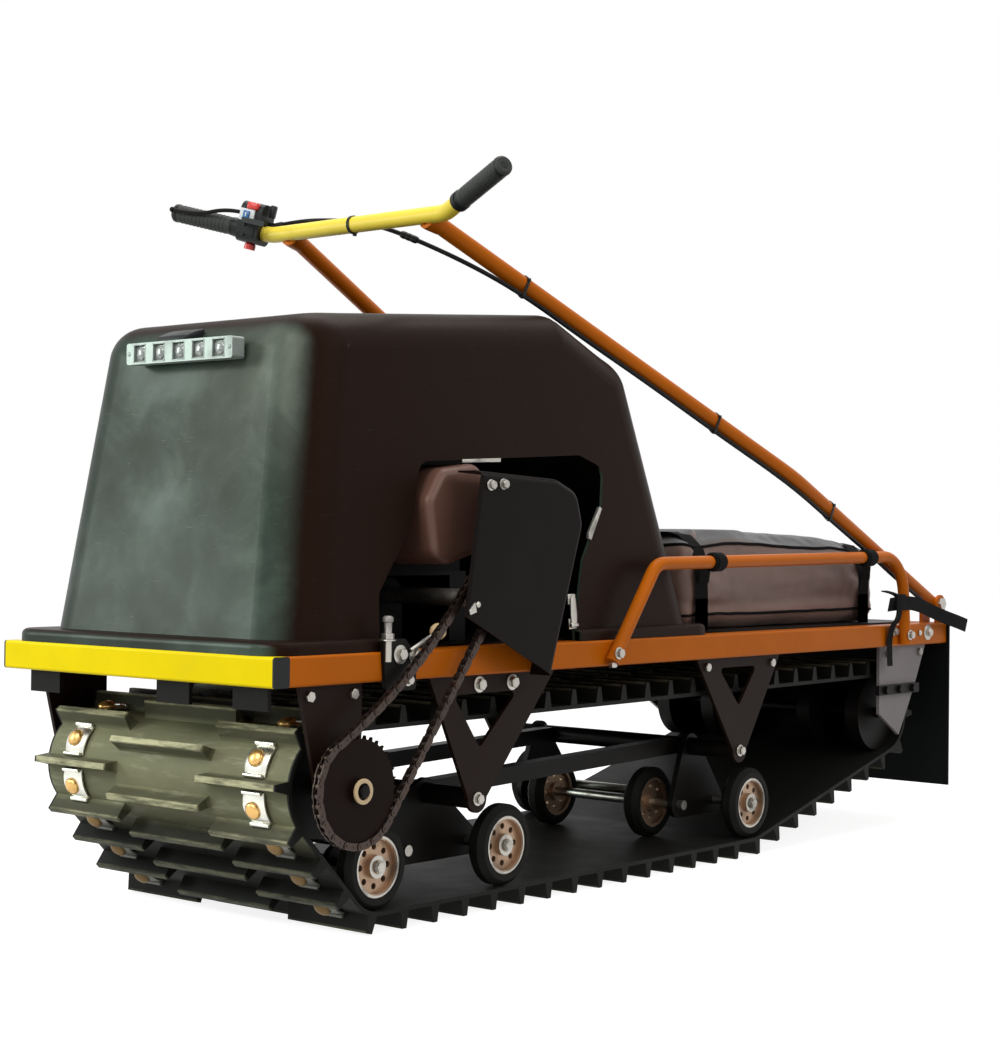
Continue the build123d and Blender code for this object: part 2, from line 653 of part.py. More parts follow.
with BuildPart() as axle_bearings:
    with BuildSketch(chain_plane(AXLE_AT, HANGER_IN + HANGER_THICK + BEARING_WIDTH)):
        Circle(BEARING_RADIUS)
        Circle(AXLE_RADIUS + AXLE_FIT, mode=Mode.SUBTRACT)
    extrude(amount=BEARING_WIDTH)
    mirror(about=Plane.XZ)
save(axle_bearings.part, "axle_bearings")

# Rollers
roller_rows = [(x, OUTER_ROLLER_Y) for x in OUTER_ROLLERS] + [(x, INNER_ROLLER_Y) for x in INNER_ROLLERS]

with BuildPart() as roller_axles:
    for x, y in roller_rows:
        with BuildSketch(chain_plane((x, ROLLER_HEIGHT), max(y, SWING_PLATE_Y) + ROLLER_WIDTH / 2)):
            Circle(ROLLER_AXLE_RADIUS)
        extrude(amount=2 * max(y, SWING_PLATE_Y) + ROLLER_WIDTH)
save(roller_axles.part, "roller_axles")

with BuildPart() as roller_discs:
    for x, y in roller_rows:
        for side in (1, -1):
            with BuildSketch(chain_plane((x, ROLLER_HEIGHT), side * y + DISC_THICK / 2)):
                Circle(RIM_RADIUS)
                with PolarLocations(DISC_HOLE_CIRCLE, DISC_HOLES):
                    Circle(DISC_HOLE_RADIUS, mode=Mode.SUBTRACT)
            extrude(amount=DISC_THICK)
            with BuildSketch(chain_plane((x, ROLLER_HEIGHT), side * y + RIM_WIDTH / 2)):
                Circle(RIM_RADIUS)
                Circle(RIM_RADIUS - RIM_WALL, mode=Mode.SUBTRACT)
            extrude(amount=RIM_WIDTH)
            with BuildSketch(chain_plane((x, ROLLER_HEIGHT), side * y + HUB_WIDTH / 2)):
                Circle(2 * ROLLER_AXLE_RADIUS)
            extrude(amount=HUB_WIDTH)
            with BuildSketch(chain_plane((x, ROLLER_HEIGHT), side * y + HUB_WIDTH)):
                Circle(ROLLER_AXLE_RADIUS + AXLE_FIT)
            extrude(amount=2 * HUB_WIDTH, mode=Mode.SUBTRACT)
save(roller_discs.part, "roller_discs")

with BuildPart() as roller_tyres:
    for x, y in roller_rows:
        for side in (1, -1):
            with BuildSketch(chain_plane((x, ROLLER_HEIGHT), side * y + ROLLER_WIDTH / 2)):
                Circle(ROLLER_RADIUS - SEAT_GAP)
            extrude(amount=ROLLER_WIDTH)
    chamfer(roller_tyres.edges().filter_by(GeomType.CIRCLE), TYRE_ROUND)
    for x, y in roller_rows:
        for side in (1, -1):
            with BuildSketch(chain_plane((x, ROLLER_HEIGHT), side * y + ROLLER_WIDTH / 2)):
                Circle(RIM_RADIUS)
            extrude(amount=ROLLER_WIDTH, mode=Mode.SUBTRACT)
save(roller_tyres.part, "roller_tyres")


# Suspension
def swing_plate_face(pivot, rollers):
    """Three-armed plate from a pivot to the rollers it carries, with clear bores."""
    ends = [(x, ROLLER_HEIGHT) for x in (rollers[0], rollers[-1])]
    with Locations(*ends, pivot):
        Circle(SWING_EDGE)
    make_hull()
    with Locations(*[(x, ROLLER_HEIGHT) for x in rollers]):
        Circle(ROLLER_AXLE_RADIUS + AXLE_FIT, mode=Mode.SUBTRACT)
    with Locations(pivot):
        Circle(PIVOT_RADIUS + AXLE_FIT, mode=Mode.SUBTRACT)


with BuildPart() as swing_plates:
    for pivot, rollers in ((FRONT_PIVOT, (OUTER_ROLLERS[0], INNER_ROLLERS[0], OUTER_ROLLERS[1])),
                           (REAR_PIVOT, (INNER_ROLLERS[1], OUTER_ROLLERS[2]))):
        for side in (1, -1):
            with BuildSketch(side_plane(side * SWING_PLATE_Y + SWING_PLATE / 2)):
                swing_plate_face(pivot, rollers)
            extrude(amount=SWING_PLATE)
save(swing_plates.part, "swing_plates")

with BuildPart() as pivot_bars:
    for place in (FRONT_PIVOT, REAR_PIVOT):
        with BuildSketch(chain_plane(place, HANGER_IN)):
            Circle(PIVOT_RADIUS)
        extrude(amount=2 * HANGER_IN)
save(pivot_bars.part, "pivot_bars")

with BuildPart() as suspension_rails:
    with BuildSketch(side_plane(SUSPENSION_RAIL_Y + SUSPENSION_RAIL / 2)):
        with BuildLine():
            clear = PIVOT_RADIUS + SEAT_GAP
            half = SUSPENSION_RAIL / 2
            Polyline((FRONT_PIVOT[0] - clear, FRONT_PIVOT[1] + half), (REAR_PIVOT[0] + clear, REAR_PIVOT[1] + half),
                     (REAR_PIVOT[0] + clear, REAR_PIVOT[1] - half), (FRONT_PIVOT[0] - clear, FRONT_PIVOT[1] - half),
                     close=True)
        make_face()
    extrude(amount=SUSPENSION_RAIL)
    mirror(about=Plane.XZ)
save(suspension_rails.part, "suspension_rails")


# Track
TRACK_WHEELS = ((AXLE_AT, DRIVE_RADIUS), (IDLER_AT, IDLER_RADIUS),
                ((OUTER_ROLLERS[-1], ROLLER_HEIGHT), ROLLER_RADIUS),
                ((OUTER_ROLLERS[0], ROLLER_HEIGHT), ROLLER_RADIUS))


def outward(first, second):
    """Direction from both wheels' middles to the belt's straight run between them."""
    (x1, z1), r1 = first
    (x2, z2), r2 = second
    distance = hypot(x2 - x1, z2 - z1)
    run = ((x2 - x1) / distance, (z2 - z1) / distance)
    lean = (r1 - r2) / distance
    square = sqrt(1 - lean ** 2)
    return run[0] * lean + run[1] * square, run[1] * lean - run[0] * square


def track_hull(offset, mode=Mode.ADD):
    """Face inside a belt line round the drive wheel, the idler and the end rollers."""
    normals = [outward(wheel, TRACK_WHEELS[(index + 1) % len(TRACK_WHEELS)])
               for index, wheel in enumerate(TRACK_WHEELS)]
    with BuildLine() as line:
        for index, ((x, z), radius) in enumerate(TRACK_WHEELS):
            reach = radius + offset
            arrive, leave = normals[index - 1], normals[index]
            halfway = Vector(arrive[0] + leave[0], arrive[1] + leave[1]).normalized()
            ThreePointArc((x + reach * arrive[0], z + reach * arrive[1]),
                          (x + reach * halfway.X, z + reach * halfway.Y),
                          (x + reach * leave[0], z + reach * leave[1]))
            (next_x, next_z), next_radius = TRACK_WHEELS[(index + 1) % len(TRACK_WHEELS)]
            next_reach = next_radius + offset
            Line((x + reach * leave[0], z + reach * leave[1]),
                 (next_x + next_reach * leave[0], next_z + next_reach * leave[1]))
    make_face(line.line.edges(), mode=mode)


with BuildSketch(side_plane(0)) as belt_line:
    track_hull(BELT)
belt_wire = belt_line.sketch.faces()[0].outer_wire()
lug_count = round(belt_wire.length / LUG_PITCH)


def lug_places(shift):
    """Where each lug stands on the belt, and how far it is turned there."""
    places = []
    for index in range(lug_count):
        share = ((index + shift) / lug_count) % 1
        point = belt_wire.position_at(share)
        run = belt_wire.tangent_at(share)
        places.append((point.X - FRAME_MID, point.Z, degrees(atan2(run.Z, run.X))))
    return places


with BuildPart() as track:
    with BuildSketch(side_plane(HALF_TRACK)):
        track_hull(BELT)
        track_hull(0, Mode.SUBTRACT)
    extrude(amount=TRACK_WIDTH)
    for low, high, shift in LUG_BANDS:
        with BuildSketch(side_plane(high * TRACK_WIDTH)):
            for x, z, angle in lug_places(shift):
                with Locations(Location((x, z), angle) * Location((0, LUG_SINK))):
                    Trapezoid(LUG_FOOT, LUG + LUG_SINK, LUG_SLOPE, align=(Align.CENTER, Align.MIN), rotation=180)
        extrude(amount=(high - low) * TRACK_WIDTH)
save(track.part, "track")

# Cargo side rails
rail_offset = HALF_WIDTH + SEAT_GAP + RAIL_RADIUS

with BuildPart() as cargo_rail_left:
    with BuildLine(side_plane(rail_offset)) as rail_path:
        FilletPolyline(*RAIL, radius=list(RAIL_BENDS))
    with BuildSketch(Plane(origin=rail_path.line @ 0, z_dir=rail_path.line % 0)):
        Circle(RAIL_RADIUS)
    sweep(path=rail_path.line)
save(cargo_rail_left.part, "cargo_rail_left")

with BuildPart() as cargo_rail_right:
    add(cargo_rail_left.part)
    mirror(about=Plane.XZ, mode=Mode.REPLACE)
save(cargo_rail_right.part, "cargo_rail_right")

# Bag on the cargo floor
bag_length, bag_middle = span(*BAG_X)

with BuildPart() as cargo_bag:
    with BuildSketch(plan_plane(FLOOR_TOP + SEAT_GAP)):
        with Locations((bag_middle, 0)):
            RectangleRounded(bag_length, 2 * BAG_HALF, BAG_ROUND)
    extrude(amount=BAG_TOP - FLOOR_TOP - SEAT_GAP)
    fillet(cargo_bag.faces().sort_by(Axis.Z)[-1].edges(), BAG_TOP_ROUND)
save(cargo_bag.part, "cargo_bag")

# Mud flap, held behind the rear beam by a clamp strip
with BuildPart() as mud_flap:
    with BuildSketch(cross_plane(REAR)):
        with Locations((0, FLAP_BOTTOM)):
            Rectangle(2 * FLAP_HALF, FRAME_TOP - FLAP_BOTTOM, align=(Align.CENTER, Align.MIN))
    extrude(amount=-FLAP)
save(mud_flap.part, "mud_flap")

with BuildPart() as flap_clamp:
    with BuildSketch(cross_plane(REAR - FLAP)):
        with Locations((0, FRAME_TOP)):
            Rectangle(FRAME_WIDTH, FLAP_CLAMP[0], align=(Align.CENTER, Align.MAX))
    extrude(amount=-FLAP_CLAMP[1])
save(flap_clamp.part, "flap_clamp")

# Hinge ears and pins of the handle
with BuildPart() as handle_ears:
    for inner in (HANDLE_PIVOT_HALF - HANDLE_TUBE - EAR_GAP - EAR, HANDLE_PIVOT_HALF + HANDLE_TUBE + EAR_GAP):
        with BuildSketch(side_plane(inner + EAR)):
            with Locations(HANDLE_PIVOT):
                Circle(EAR_RADIUS)
            with Locations((HANDLE_PIVOT[0], FRAME_TOP)):
                Rectangle(2 * EAR_RADIUS, HANDLE_PIVOT[1] - FRAME_TOP, align=(Align.CENTER, Align.MIN))
            with Locations(HANDLE_PIVOT):
                Circle(HINGE_PIN_RADIUS, mode=Mode.SUBTRACT)
        extrude(amount=EAR)
    mirror(about=Plane.XZ)
save(handle_ears.part, "handle_ears")

ear_outside = HANDLE_PIVOT_HALF + HANDLE_TUBE + EAR_GAP + EAR
ear_inside = HANDLE_PIVOT_HALF - HANDLE_TUBE - EAR_GAP - EAR

with BuildPart() as hinge_pins:
    with BuildSketch(chain_plane(HANDLE_PIVOT, ear_outside)):
        Circle(HINGE_PIN_RADIUS)
    extrude(amount=ear_outside - ear_inside)
    for y in (ear_outside + PIN_HEAD, ear_inside):
        with BuildSketch(chain_plane(HANDLE_PIVOT, y)):
            RegularPolygon(2 * HINGE_PIN_RADIUS, 6)
        extrude(amount=PIN_HEAD)
    mirror(about=Plane.XZ)
save(hinge_pins.part, "hinge_pins")


# Handle
def bar_point(side, along, across, height):
    return Vector(FRAME_MID + along, side * across, height)


with BuildPart() as handlebar:
    bar_points = [bar_point(-1, *BAR_END), bar_point(-1, BAR_AT[0], BAR_STRAIGHT_HALF, BAR_AT[1]),
                  bar_point(1, BAR_AT[0], BAR_STRAIGHT_HALF, BAR_AT[1]), bar_point(1, *BAR_END)]
    with BuildLine() as bar_path:
        FilletPolyline(*bar_points, radius=BAR_BEND)
    with BuildSketch(Plane(origin=bar_path.line @ 0, z_dir=bar_path.line % 0)):
        Circle(BAR_RADIUS)
    sweep(path=bar_path.line)
save(handlebar.part, "handlebar")


def handle_tube(side):
    """One side tube with its hinge bush, from the pivot over the knee to the handlebar."""
    points = [bar_point(side, HANDLE_PIVOT[0], HANDLE_PIVOT_HALF, HANDLE_PIVOT[1]), bar_point(side, *HANDLE_KNEE),
              bar_point(side, BAR_AT[0], BAR_TUBE_HALF, BAR_AT[1])]
    with BuildPart() as tube:
        with BuildLine() as tube_path:
            FilletPolyline(*points, radius=KNEE_BEND)
        with BuildSketch(Plane(origin=tube_path.line @ 0, z_dir=tube_path.line % 0)):
            Circle(HANDLE_TUBE)
        sweep(path=tube_path.line)
        with BuildSketch(chain_plane(HANDLE_PIVOT, side * HANDLE_PIVOT_HALF + HANDLE_TUBE)):
            Circle(HANDLE_TUBE)
        extrude(amount=2 * HANDLE_TUBE)
        with BuildSketch(chain_plane(HANDLE_PIVOT, side * HANDLE_PIVOT_HALF + 2 * HANDLE_TUBE)):
            Circle(HINGE_PIN_RADIUS + PIN_FIT)
        extrude(amount=4 * HANDLE_TUBE, mode=Mode.SUBTRACT)
        add(handlebar.part, mode=Mode.SUBTRACT)
        solids_by_size = tube.part.solids().sort_by(SortBy.VOLUME)
        add(solids_by_size[-1], mode=Mode.REPLACE)
    return tube.part


save(handle_tube(1), "handle_tube_left")
save(handle_tube(-1), "handle_tube_right")


def grip(side):
    """Rubber sleeve closed over one end of the handlebar."""
    end = bar_point(side, *BAR_END)
    inward = (bar_point(side, BAR_AT[0], BAR_STRAIGHT_HALF, BAR_AT[1]) - end).normalized()
    start = end - inward * GRIP_CAP
    with BuildPart() as sleeve:
        with BuildSketch(Plane(origin=start, z_dir=inward)):
            Circle(GRIP_RADIUS)
        extrude(amount=GRIP_LENGTH[side])
        chamfer(sleeve.edges().filter_by(GeomType.CIRCLE).sort_by(Axis.Y)[0 if side < 0 else -1], GRIP_CHAMFER)
        with BuildSketch(Plane(origin=end, z_dir=inward)):
            Circle(BAR_RADIUS)
        extrude(amount=GRIP_LENGTH[side], mode=Mode.SUBTRACT)
    return sleeve.part


save(grip(1), "grip_left")
save(grip(-1), "grip_right")


# Throttle housing on the right of the handlebar, with its stop switch and thumb lever
def bar_end_plane(side, along):
    """Plane across one end of the handlebar, at a distance from its bend."""
    corner = bar_point(side, BAR_AT[0], BAR_STRAIGHT_HALF, BAR_AT[1])
    outwards = (bar_point(side, *BAR_END) - corner).normalized()
    return Plane(origin=corner + outwards * along, x_dir=outwards.cross(Vector(0, 0, 1)), z_dir=outwards)


with BuildPart() as throttle_housing:
    with BuildSketch(bar_end_plane(-1, HOUSING_AT)):
        with Locations((0, -HOUSING_DROP)):
            RectangleRounded(*HOUSING_SIZE, HOUSING_CORNER)
        Circle(BAR_RADIUS, mode=Mode.SUBTRACT)
    extrude(amount=HOUSING_LENGTH)
save(throttle_housing.part, "throttle_housing")

with BuildPart() as stop_switch:
    housing_top = HOUSING_SIZE[1] / 2 - HOUSING_DROP
    button_place = bar_end_plane(-1, HOUSING_AT + HOUSING_LENGTH / 2)
    with BuildSketch(Plane(origin=button_place.origin + button_place.y_dir * housing_top,
                           z_dir=button_place.y_dir)):
        Circle(BUTTON_RADIUS)
    extrude(amount=BUTTON_HEIGHT)
    chamfer(stop_switch.edges().filter_by(GeomType.CIRCLE).sort_by(Axis.Z)[-1], BUTTON_CHAMFER)
save(stop_switch.part, "stop_switch")

with BuildPart() as throttle_lever:
    lever_place = bar_end_plane(-1, HOUSING_AT + HOUSING_LENGTH / 2)
    lever_side = HOUSING_SIZE[0] / 2
    with BuildSketch(Plane(origin=lever_place.origin - lever_place.y_dir * HOUSING_DROP,
                           x_dir=lever_place.x_dir, z_dir=lever_place.y_dir)):
        with BuildLine():
            Polyline(*[(across - lever_side, along) for across, along in LEVER_OUTLINE], close=True)
        make_face()
        fillet(vertices().sort_by(Axis.Y)[0], LEVER_ROUND)
    extrude(amount=LEVER_THICK, both=True)
save(throttle_lever.part, "throttle_lever")

# Control cable, clipped along the handlebar and under the left tube
def under_tube(first, second, share, hang):
    """Point of the cable's route that hangs under a straight run of the left tube."""
    return first + (second - first) * share - Vector(0, -CABLE_OUTWARD, hang)


tube_front = bar_point(1, BAR_AT[0], BAR_TUBE_HALF, BAR_AT[1])
tube_knee = bar_point(1, *HANDLE_KNEE)
tube_rear = bar_point(1, HANDLE_PIVOT[0], HANDLE_PIVOT_HALF, HANDLE_PIVOT[1])
cable_route = [bar_point(1, BAR_AT[0] + x, y, BAR_AT[1] + z) for x, y, z in CABLE_START]
cable_route += [under_tube(tube_front, tube_knee, *point) for point in CABLE_UNDER_FRONT]
cable_route += [under_tube(tube_knee, tube_rear, *point) for point in CABLE_UNDER_REAR]

with BuildPart() as control_cable:
    with BuildLine() as cable_path:
        FilletPolyline(*cable_route, radius=list(CABLE_BENDS))
    with BuildSketch(Plane(origin=cable_path.line @ 0, z_dir=cable_path.line % 0)):
        Circle(CABLE_RADIUS)
    sweep(path=cable_path.line)
save(control_cable.part, "control_cable")

# Brackets under the front beam
with BuildPart() as front_brackets:
    with BuildSketch(cross_plane(FRONT - FRONT_BEAM_DEPTH)):
        with Locations(*[(y, FRAME_BOTTOM) for y in FRONT_BRACKET_Y]):
            Rectangle(*FRONT_BRACKET, align=(Align.CENTER, Align.MAX))
    extrude(amount=HANGER_THICK)
save(front_brackets.part, "front_brackets")

# Track tensioners outside the rear plates
with BuildPart() as tensioners:
    clamp_length, clamp_middle = span(*CLAMP_X)
    plate_outside = HANGER_IN + HANGER_THICK
    with BuildSketch(side_plane(plate_outside + CLAMP_DEPTH)):
        with Locations((clamp_middle, CLAMP_AT)):
            RectangleRounded(clamp_length, CLAMP_HEIGHT, CLAMP_CORNER)
    extrude(amount=CLAMP_DEPTH)
    with BuildSketch(side_plane(plate_outside + CLAMP_DEPTH + PIN_HEAD)):
        with Locations((clamp_middle, CLAMP_AT)):
            with GridLocations(clamp_length / 3, 0, 3, 1):
                RegularPolygon(CLAMP_HEIGHT / 2 - 1, 6)
    extrude(amount=PIN_HEAD)
    mirror(about=Plane.XZ)
save(tensioners.part, "tensioners")

# Chain adjuster and its lever on the left side beam
with BuildPart() as chain_adjuster:
    with BuildSketch(side_plane(HALF_WIDTH + ADJUSTER_PLATE)):
        with BuildLine():
            Polyline(*ADJUSTER, close=True)
        make_face()
        fillet(vertices(), ADJUSTER_CORNER)
    extrude(amount=ADJUSTER_PLATE)
    with BuildSketch(plan_plane(ADJUSTER_BOLT[1])):
        with Locations((ADJUSTER_BOLT[0], HALF_WIDTH + ADJUSTER_PLATE)):
            Circle(BOLT_RADIUS)
    extrude(amount=ADJUSTER_BOLT[2] - ADJUSTER_BOLT[1])
save(chain_adjuster.part, "chain_adjuster")

with BuildPart() as shift_lever:
    lever_y = HALF_WIDTH + ADJUSTER_PLATE + LEVER_RADIUS + SEAT_GAP
    lever_foot = Vector(FRAME_MID + LEVER_FOOT[0], lever_y, LEVER_FOOT[1])
    knob_place = Vector(FRAME_MID + KNOB_AT[0], lever_y, KNOB_AT[1])
    lever_run = knob_place - lever_foot
    with BuildSketch(Plane(origin=lever_foot, z_dir=lever_run)):
        Circle(LEVER_RADIUS)
    extrude(amount=lever_run.length)
    with Locations(knob_place):
        Sphere(KNOB_RADIUS)
save(shift_lever.part, "shift_lever")

# Webbing over the bag
with BuildPart() as bag_straps:
    for x in STRAP_AT:
        with BuildSketch(cross_plane(x - STRAP_WIDTH / 2)):
            for grow, mode in ((SEAT_GAP + STRAP_THICK, Mode.ADD), (SEAT_GAP, Mode.SUBTRACT)):
                with Locations((0, FLOOR_TOP)):
                    RectangleRounded(2 * (BAG_HALF + grow), 2 * (BAG_TOP + grow - FLOOR_TOP),
                                     BAG_TOP_ROUND + grow, mode=mode)
            with Locations((0, FLOOR_TOP)):
                Rectangle(FRAME_WIDTH, BAG_TOP - FLOOR_TOP + BAG_ROUND, align=(Align.CENTER, Align.MAX),
                          mode=Mode.SUBTRACT)
        extrude(amount=STRAP_WIDTH)
save(bag_straps.part, "bag_straps")
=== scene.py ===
"""Dresses the packed snow tug: finishes, fastenings, soft parts, light and camera. Metres."""
import json
import math

import bmesh
import bpy
from mathutils import Matrix, Vector, noise
from mathutils.bvhtree import BVHTree


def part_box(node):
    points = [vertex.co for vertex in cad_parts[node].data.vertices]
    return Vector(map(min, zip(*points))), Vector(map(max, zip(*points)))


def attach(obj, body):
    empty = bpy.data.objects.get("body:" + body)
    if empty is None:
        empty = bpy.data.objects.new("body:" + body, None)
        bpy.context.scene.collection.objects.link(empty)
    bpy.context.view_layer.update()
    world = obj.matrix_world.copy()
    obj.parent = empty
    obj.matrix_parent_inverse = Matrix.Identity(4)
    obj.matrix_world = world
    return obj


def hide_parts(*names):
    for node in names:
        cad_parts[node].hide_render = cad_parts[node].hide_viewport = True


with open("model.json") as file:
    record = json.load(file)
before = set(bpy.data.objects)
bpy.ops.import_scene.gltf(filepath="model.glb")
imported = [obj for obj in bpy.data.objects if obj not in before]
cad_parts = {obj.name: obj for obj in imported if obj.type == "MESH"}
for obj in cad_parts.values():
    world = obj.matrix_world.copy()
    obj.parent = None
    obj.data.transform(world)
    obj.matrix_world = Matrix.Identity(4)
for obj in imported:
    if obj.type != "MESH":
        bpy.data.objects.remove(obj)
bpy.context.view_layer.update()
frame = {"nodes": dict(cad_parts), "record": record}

bl_info = {
    "name": "Snow tug dressing",
    "version": (1, 0, 0),
    "blender": (4, 5, 0),
    "location": "3D View > Sidebar > Snow tug",
    "description": "Builds the finishes, trim, soft parts, light and camera of a tracked snow tug",
    "category": "Object",
}

NODES = frame["nodes"]
TAU = 2 * math.pi
FORWARD, LEFT, UP = (Vector(axis) for axis in ((1, 0, 0), (0, 1, 0), (0, 0, 1)))
# Forward place of the frame's middle
MID = 0.0225
# How far left the faces stand that carry bolts
SIDE = 0.280
HANGER_FACE = 0.268
PLATE_FACE = 0.286
RAIL_FACE = 0.3008
GUARD_FACE = 0.322

# Wheels that the rubber belt runs round: forward, up, radius
BELT_WHEELS = ((0.767, 0.207, 0.070), (-0.720, 0.217, 0.070), (-0.263, 0.090, 0.060), (0.668, 0.090, 0.060))
BELT_OUTSIDE = 0.006
LUG_PITCH = 0.064
# Steel clips: how far left and right they stand, and their length
CLIP_Y = 0.188
CLIP_LENGTH = 0.046
# Road rollers' axles: forward places and height
ROLLERS = (0.668, 0.395, -0.263)
ROLLER_UP = 0.090
CHAIN_WHEELS = ((0.767, 0.207, 0.07286), (0.525, 0.455, 0.03255))
CHAIN_Y = 0.300
CHAIN_STEP = 0.012716
LINK_END = 0.0054
LINK_THICKNESS = 0.0013
CHAIN_SAG = 0.018

# Face of the sprocket's hub, and the middles of the lamps: height and spacing
HUB = (0.767, 0.3092, 0.207)
LAMP_UP = 0.794
LAMP_PITCH = 0.041

# The cable's route, as in the CAD model
CABLE = ((0.4845, -0.196, 1.029), (0.4745, -0.150, 1.035), (0.4715, -0.080, 1.031), (0.4695, 0, 1.019),
         (0.4665, 0.075, 0.995), (0.4138, 0.1654, 0.9467), (0.3063, 0.1815, 0.9095), (0.1822, 0.2001, 0.8531),
         (0.0417, 0.2212, 0.7934), (-0.1238, 0.246, 0.7188), (-0.3057, 0.2733, 0.6409), (-0.4464, 0.2752, 0.5778),
         (-0.594, 0.273, 0.516), (-0.7099, 0.2712, 0.4638), (-0.7943, 0.27, 0.4314))
CABLE_RADIUS = 0.0035
# The sleeve on the cable starts at the route's nearest point to this
SLEEVE_START = Vector((0.455, 0.060, 0.985))
TIE_WIDTH = 0.0048
TIE_THICKNESS = 0.0012
TUBE_RADIUS = 0.013
BAR_RADIUS = 0.0125
# Grips: side, length, length of the inner sleeve; and how many ribs each has
GRIPS = ((1, 0.126, 0.010), (-1, 0.112, 0.024))
RIBS = 12

# Webbing: thickness, width of the hanging ends and of the tail, where the straps cross the bag,
# and the place, height and width of each wrap on a rail
WEB = 0.0022
DROP_WEB = 0.021
TAIL_WEB = 0.024
STRAPS = (MID - 0.160, MID - 0.704)
WRAPS = ((MID - 0.078, 0.5045, 0.032), (MID - 0.572, 0.5113, 0.036))
# Bag: even mesh size, most that the filling moves a point, frames of filling, corner radius of its seams
BAG_VOXEL = 0.0085
BAG_SWELL = 0.016
BAG_FRAMES = 20
BAG_CORNER = 0.035
# Width of the camera's sensor in millimetres
SENSOR = 36.0


def at(forward, left, up):
    """A place given in metres from the middle of the frame's length."""
    return Vector((MID + forward, left, up))


BAR = at(0.474, 0.0, 1.013)
BAR_BEND = at(0.474, 0.183, 1.013)
BAR_END = at(0.533, 0.341, 1.056)
TUBE_FRONT = at(0.474, 0.144, 1.013)
TUBE_KNEE = at(-0.353, 0.268, 0.650)
TUBE_REAR = at(-0.880, 0.260, 0.422)


def on_side(point, side):
    """The point on the machine's left (1) or right (-1)."""
    return Vector((point.x, side * point.y, point.z))


def turned(x, y, z):
    """Matrix whose own axes point along three directions."""
    return Matrix((x, y, z)).transposed().to_4x4()


def stand(place, axis=UP, turn=0.0):
    """Matrix that stands an upright pattern at a place, along an axis."""
    tilt = Vector(axis).to_track_quat("Z", "Y").to_matrix().to_4x4()
    return Matrix.Translation(place) @ tilt @ Matrix.Rotation(turn, 4, "Z")


class Value:
    """A shader socket that takes part in arithmetic and adds its own Math nodes."""

    def __init__(self, shop, socket):
        self.shop = shop
        self.socket = socket

    def _math(self, operation, *others):
        return self.shop.node("ShaderNodeMath", {"operation": operation}, (self, *others))

    def __add__(self, other):
        return self._math("ADD", other)

    def __mul__(self, other):
        return self._math("MULTIPLY", other)

    def __sub__(self, other):
        return self._math("SUBTRACT", other)

    def __rsub__(self, other):
        return (self * -1.0) + other

    def __pow__(self, other):
        return self._math("POWER", other)

    __radd__ = __add__
    __rmul__ = __mul__

    def above(self, edge):
        return self._math("GREATER_THAN", edge)

    def most(self, other):
        return self._math("MAXIMUM", other)

    def ramp(self, low, high):
        """0 at low, 1 at high, with a soft step between them."""
        return self.shop.node("ShaderNodeMapRange", {"interpolation_type": "SMOOTHSTEP"},
                              {"Value": self, "From Min": low, "From Max": high})

    def axes(self):
        """The three numbers of a vector."""
        parts = self.shop.node("ShaderNodeSeparateXYZ", {}, (self,))
        return [Value(self.shop, socket) for socket in parts.socket.node.outputs]


class Tree:
    """A node tree: any node comes from its node method."""

    def __init__(self, tree):
        self.tree = tree

    def node(self, kind, options=None, sockets=(), output=0):
        """Add a node, apply its options, then give its sockets values or links."""
        made = self.tree.nodes.new(kind)
        for key, setting in (options or {}).items():
            setattr(made, key, setting)
        pairs = sockets.items() if isinstance(sockets, dict) else enumerate(sockets)
        for key, given in pairs:
            self.feed(made.inputs[key], given)
        return Value(self, made.outputs[output])

    def feed(self, socket, given):
        if isinstance(given, Value):
            self.tree.links.new(given.socket, socket)
        elif isinstance(given, (tuple, list)) and len(given) == 3 and socket.type == "RGBA":
            socket.default_value = (*given, 1.0)
        else:
            socket.default_value = given

    def seen(self):
        """1 where the camera, a reflection or a clear part looks at the background."""
        rays = self.tree.nodes.new("ShaderNodeLightPath").outputs
        camera, glossy, clear = (Value(self, rays[f"Is {kind} Ray"]) for kind in ("Camera", "Glossy", "Transmission"))
        return camera.most(glossy).most(clear)


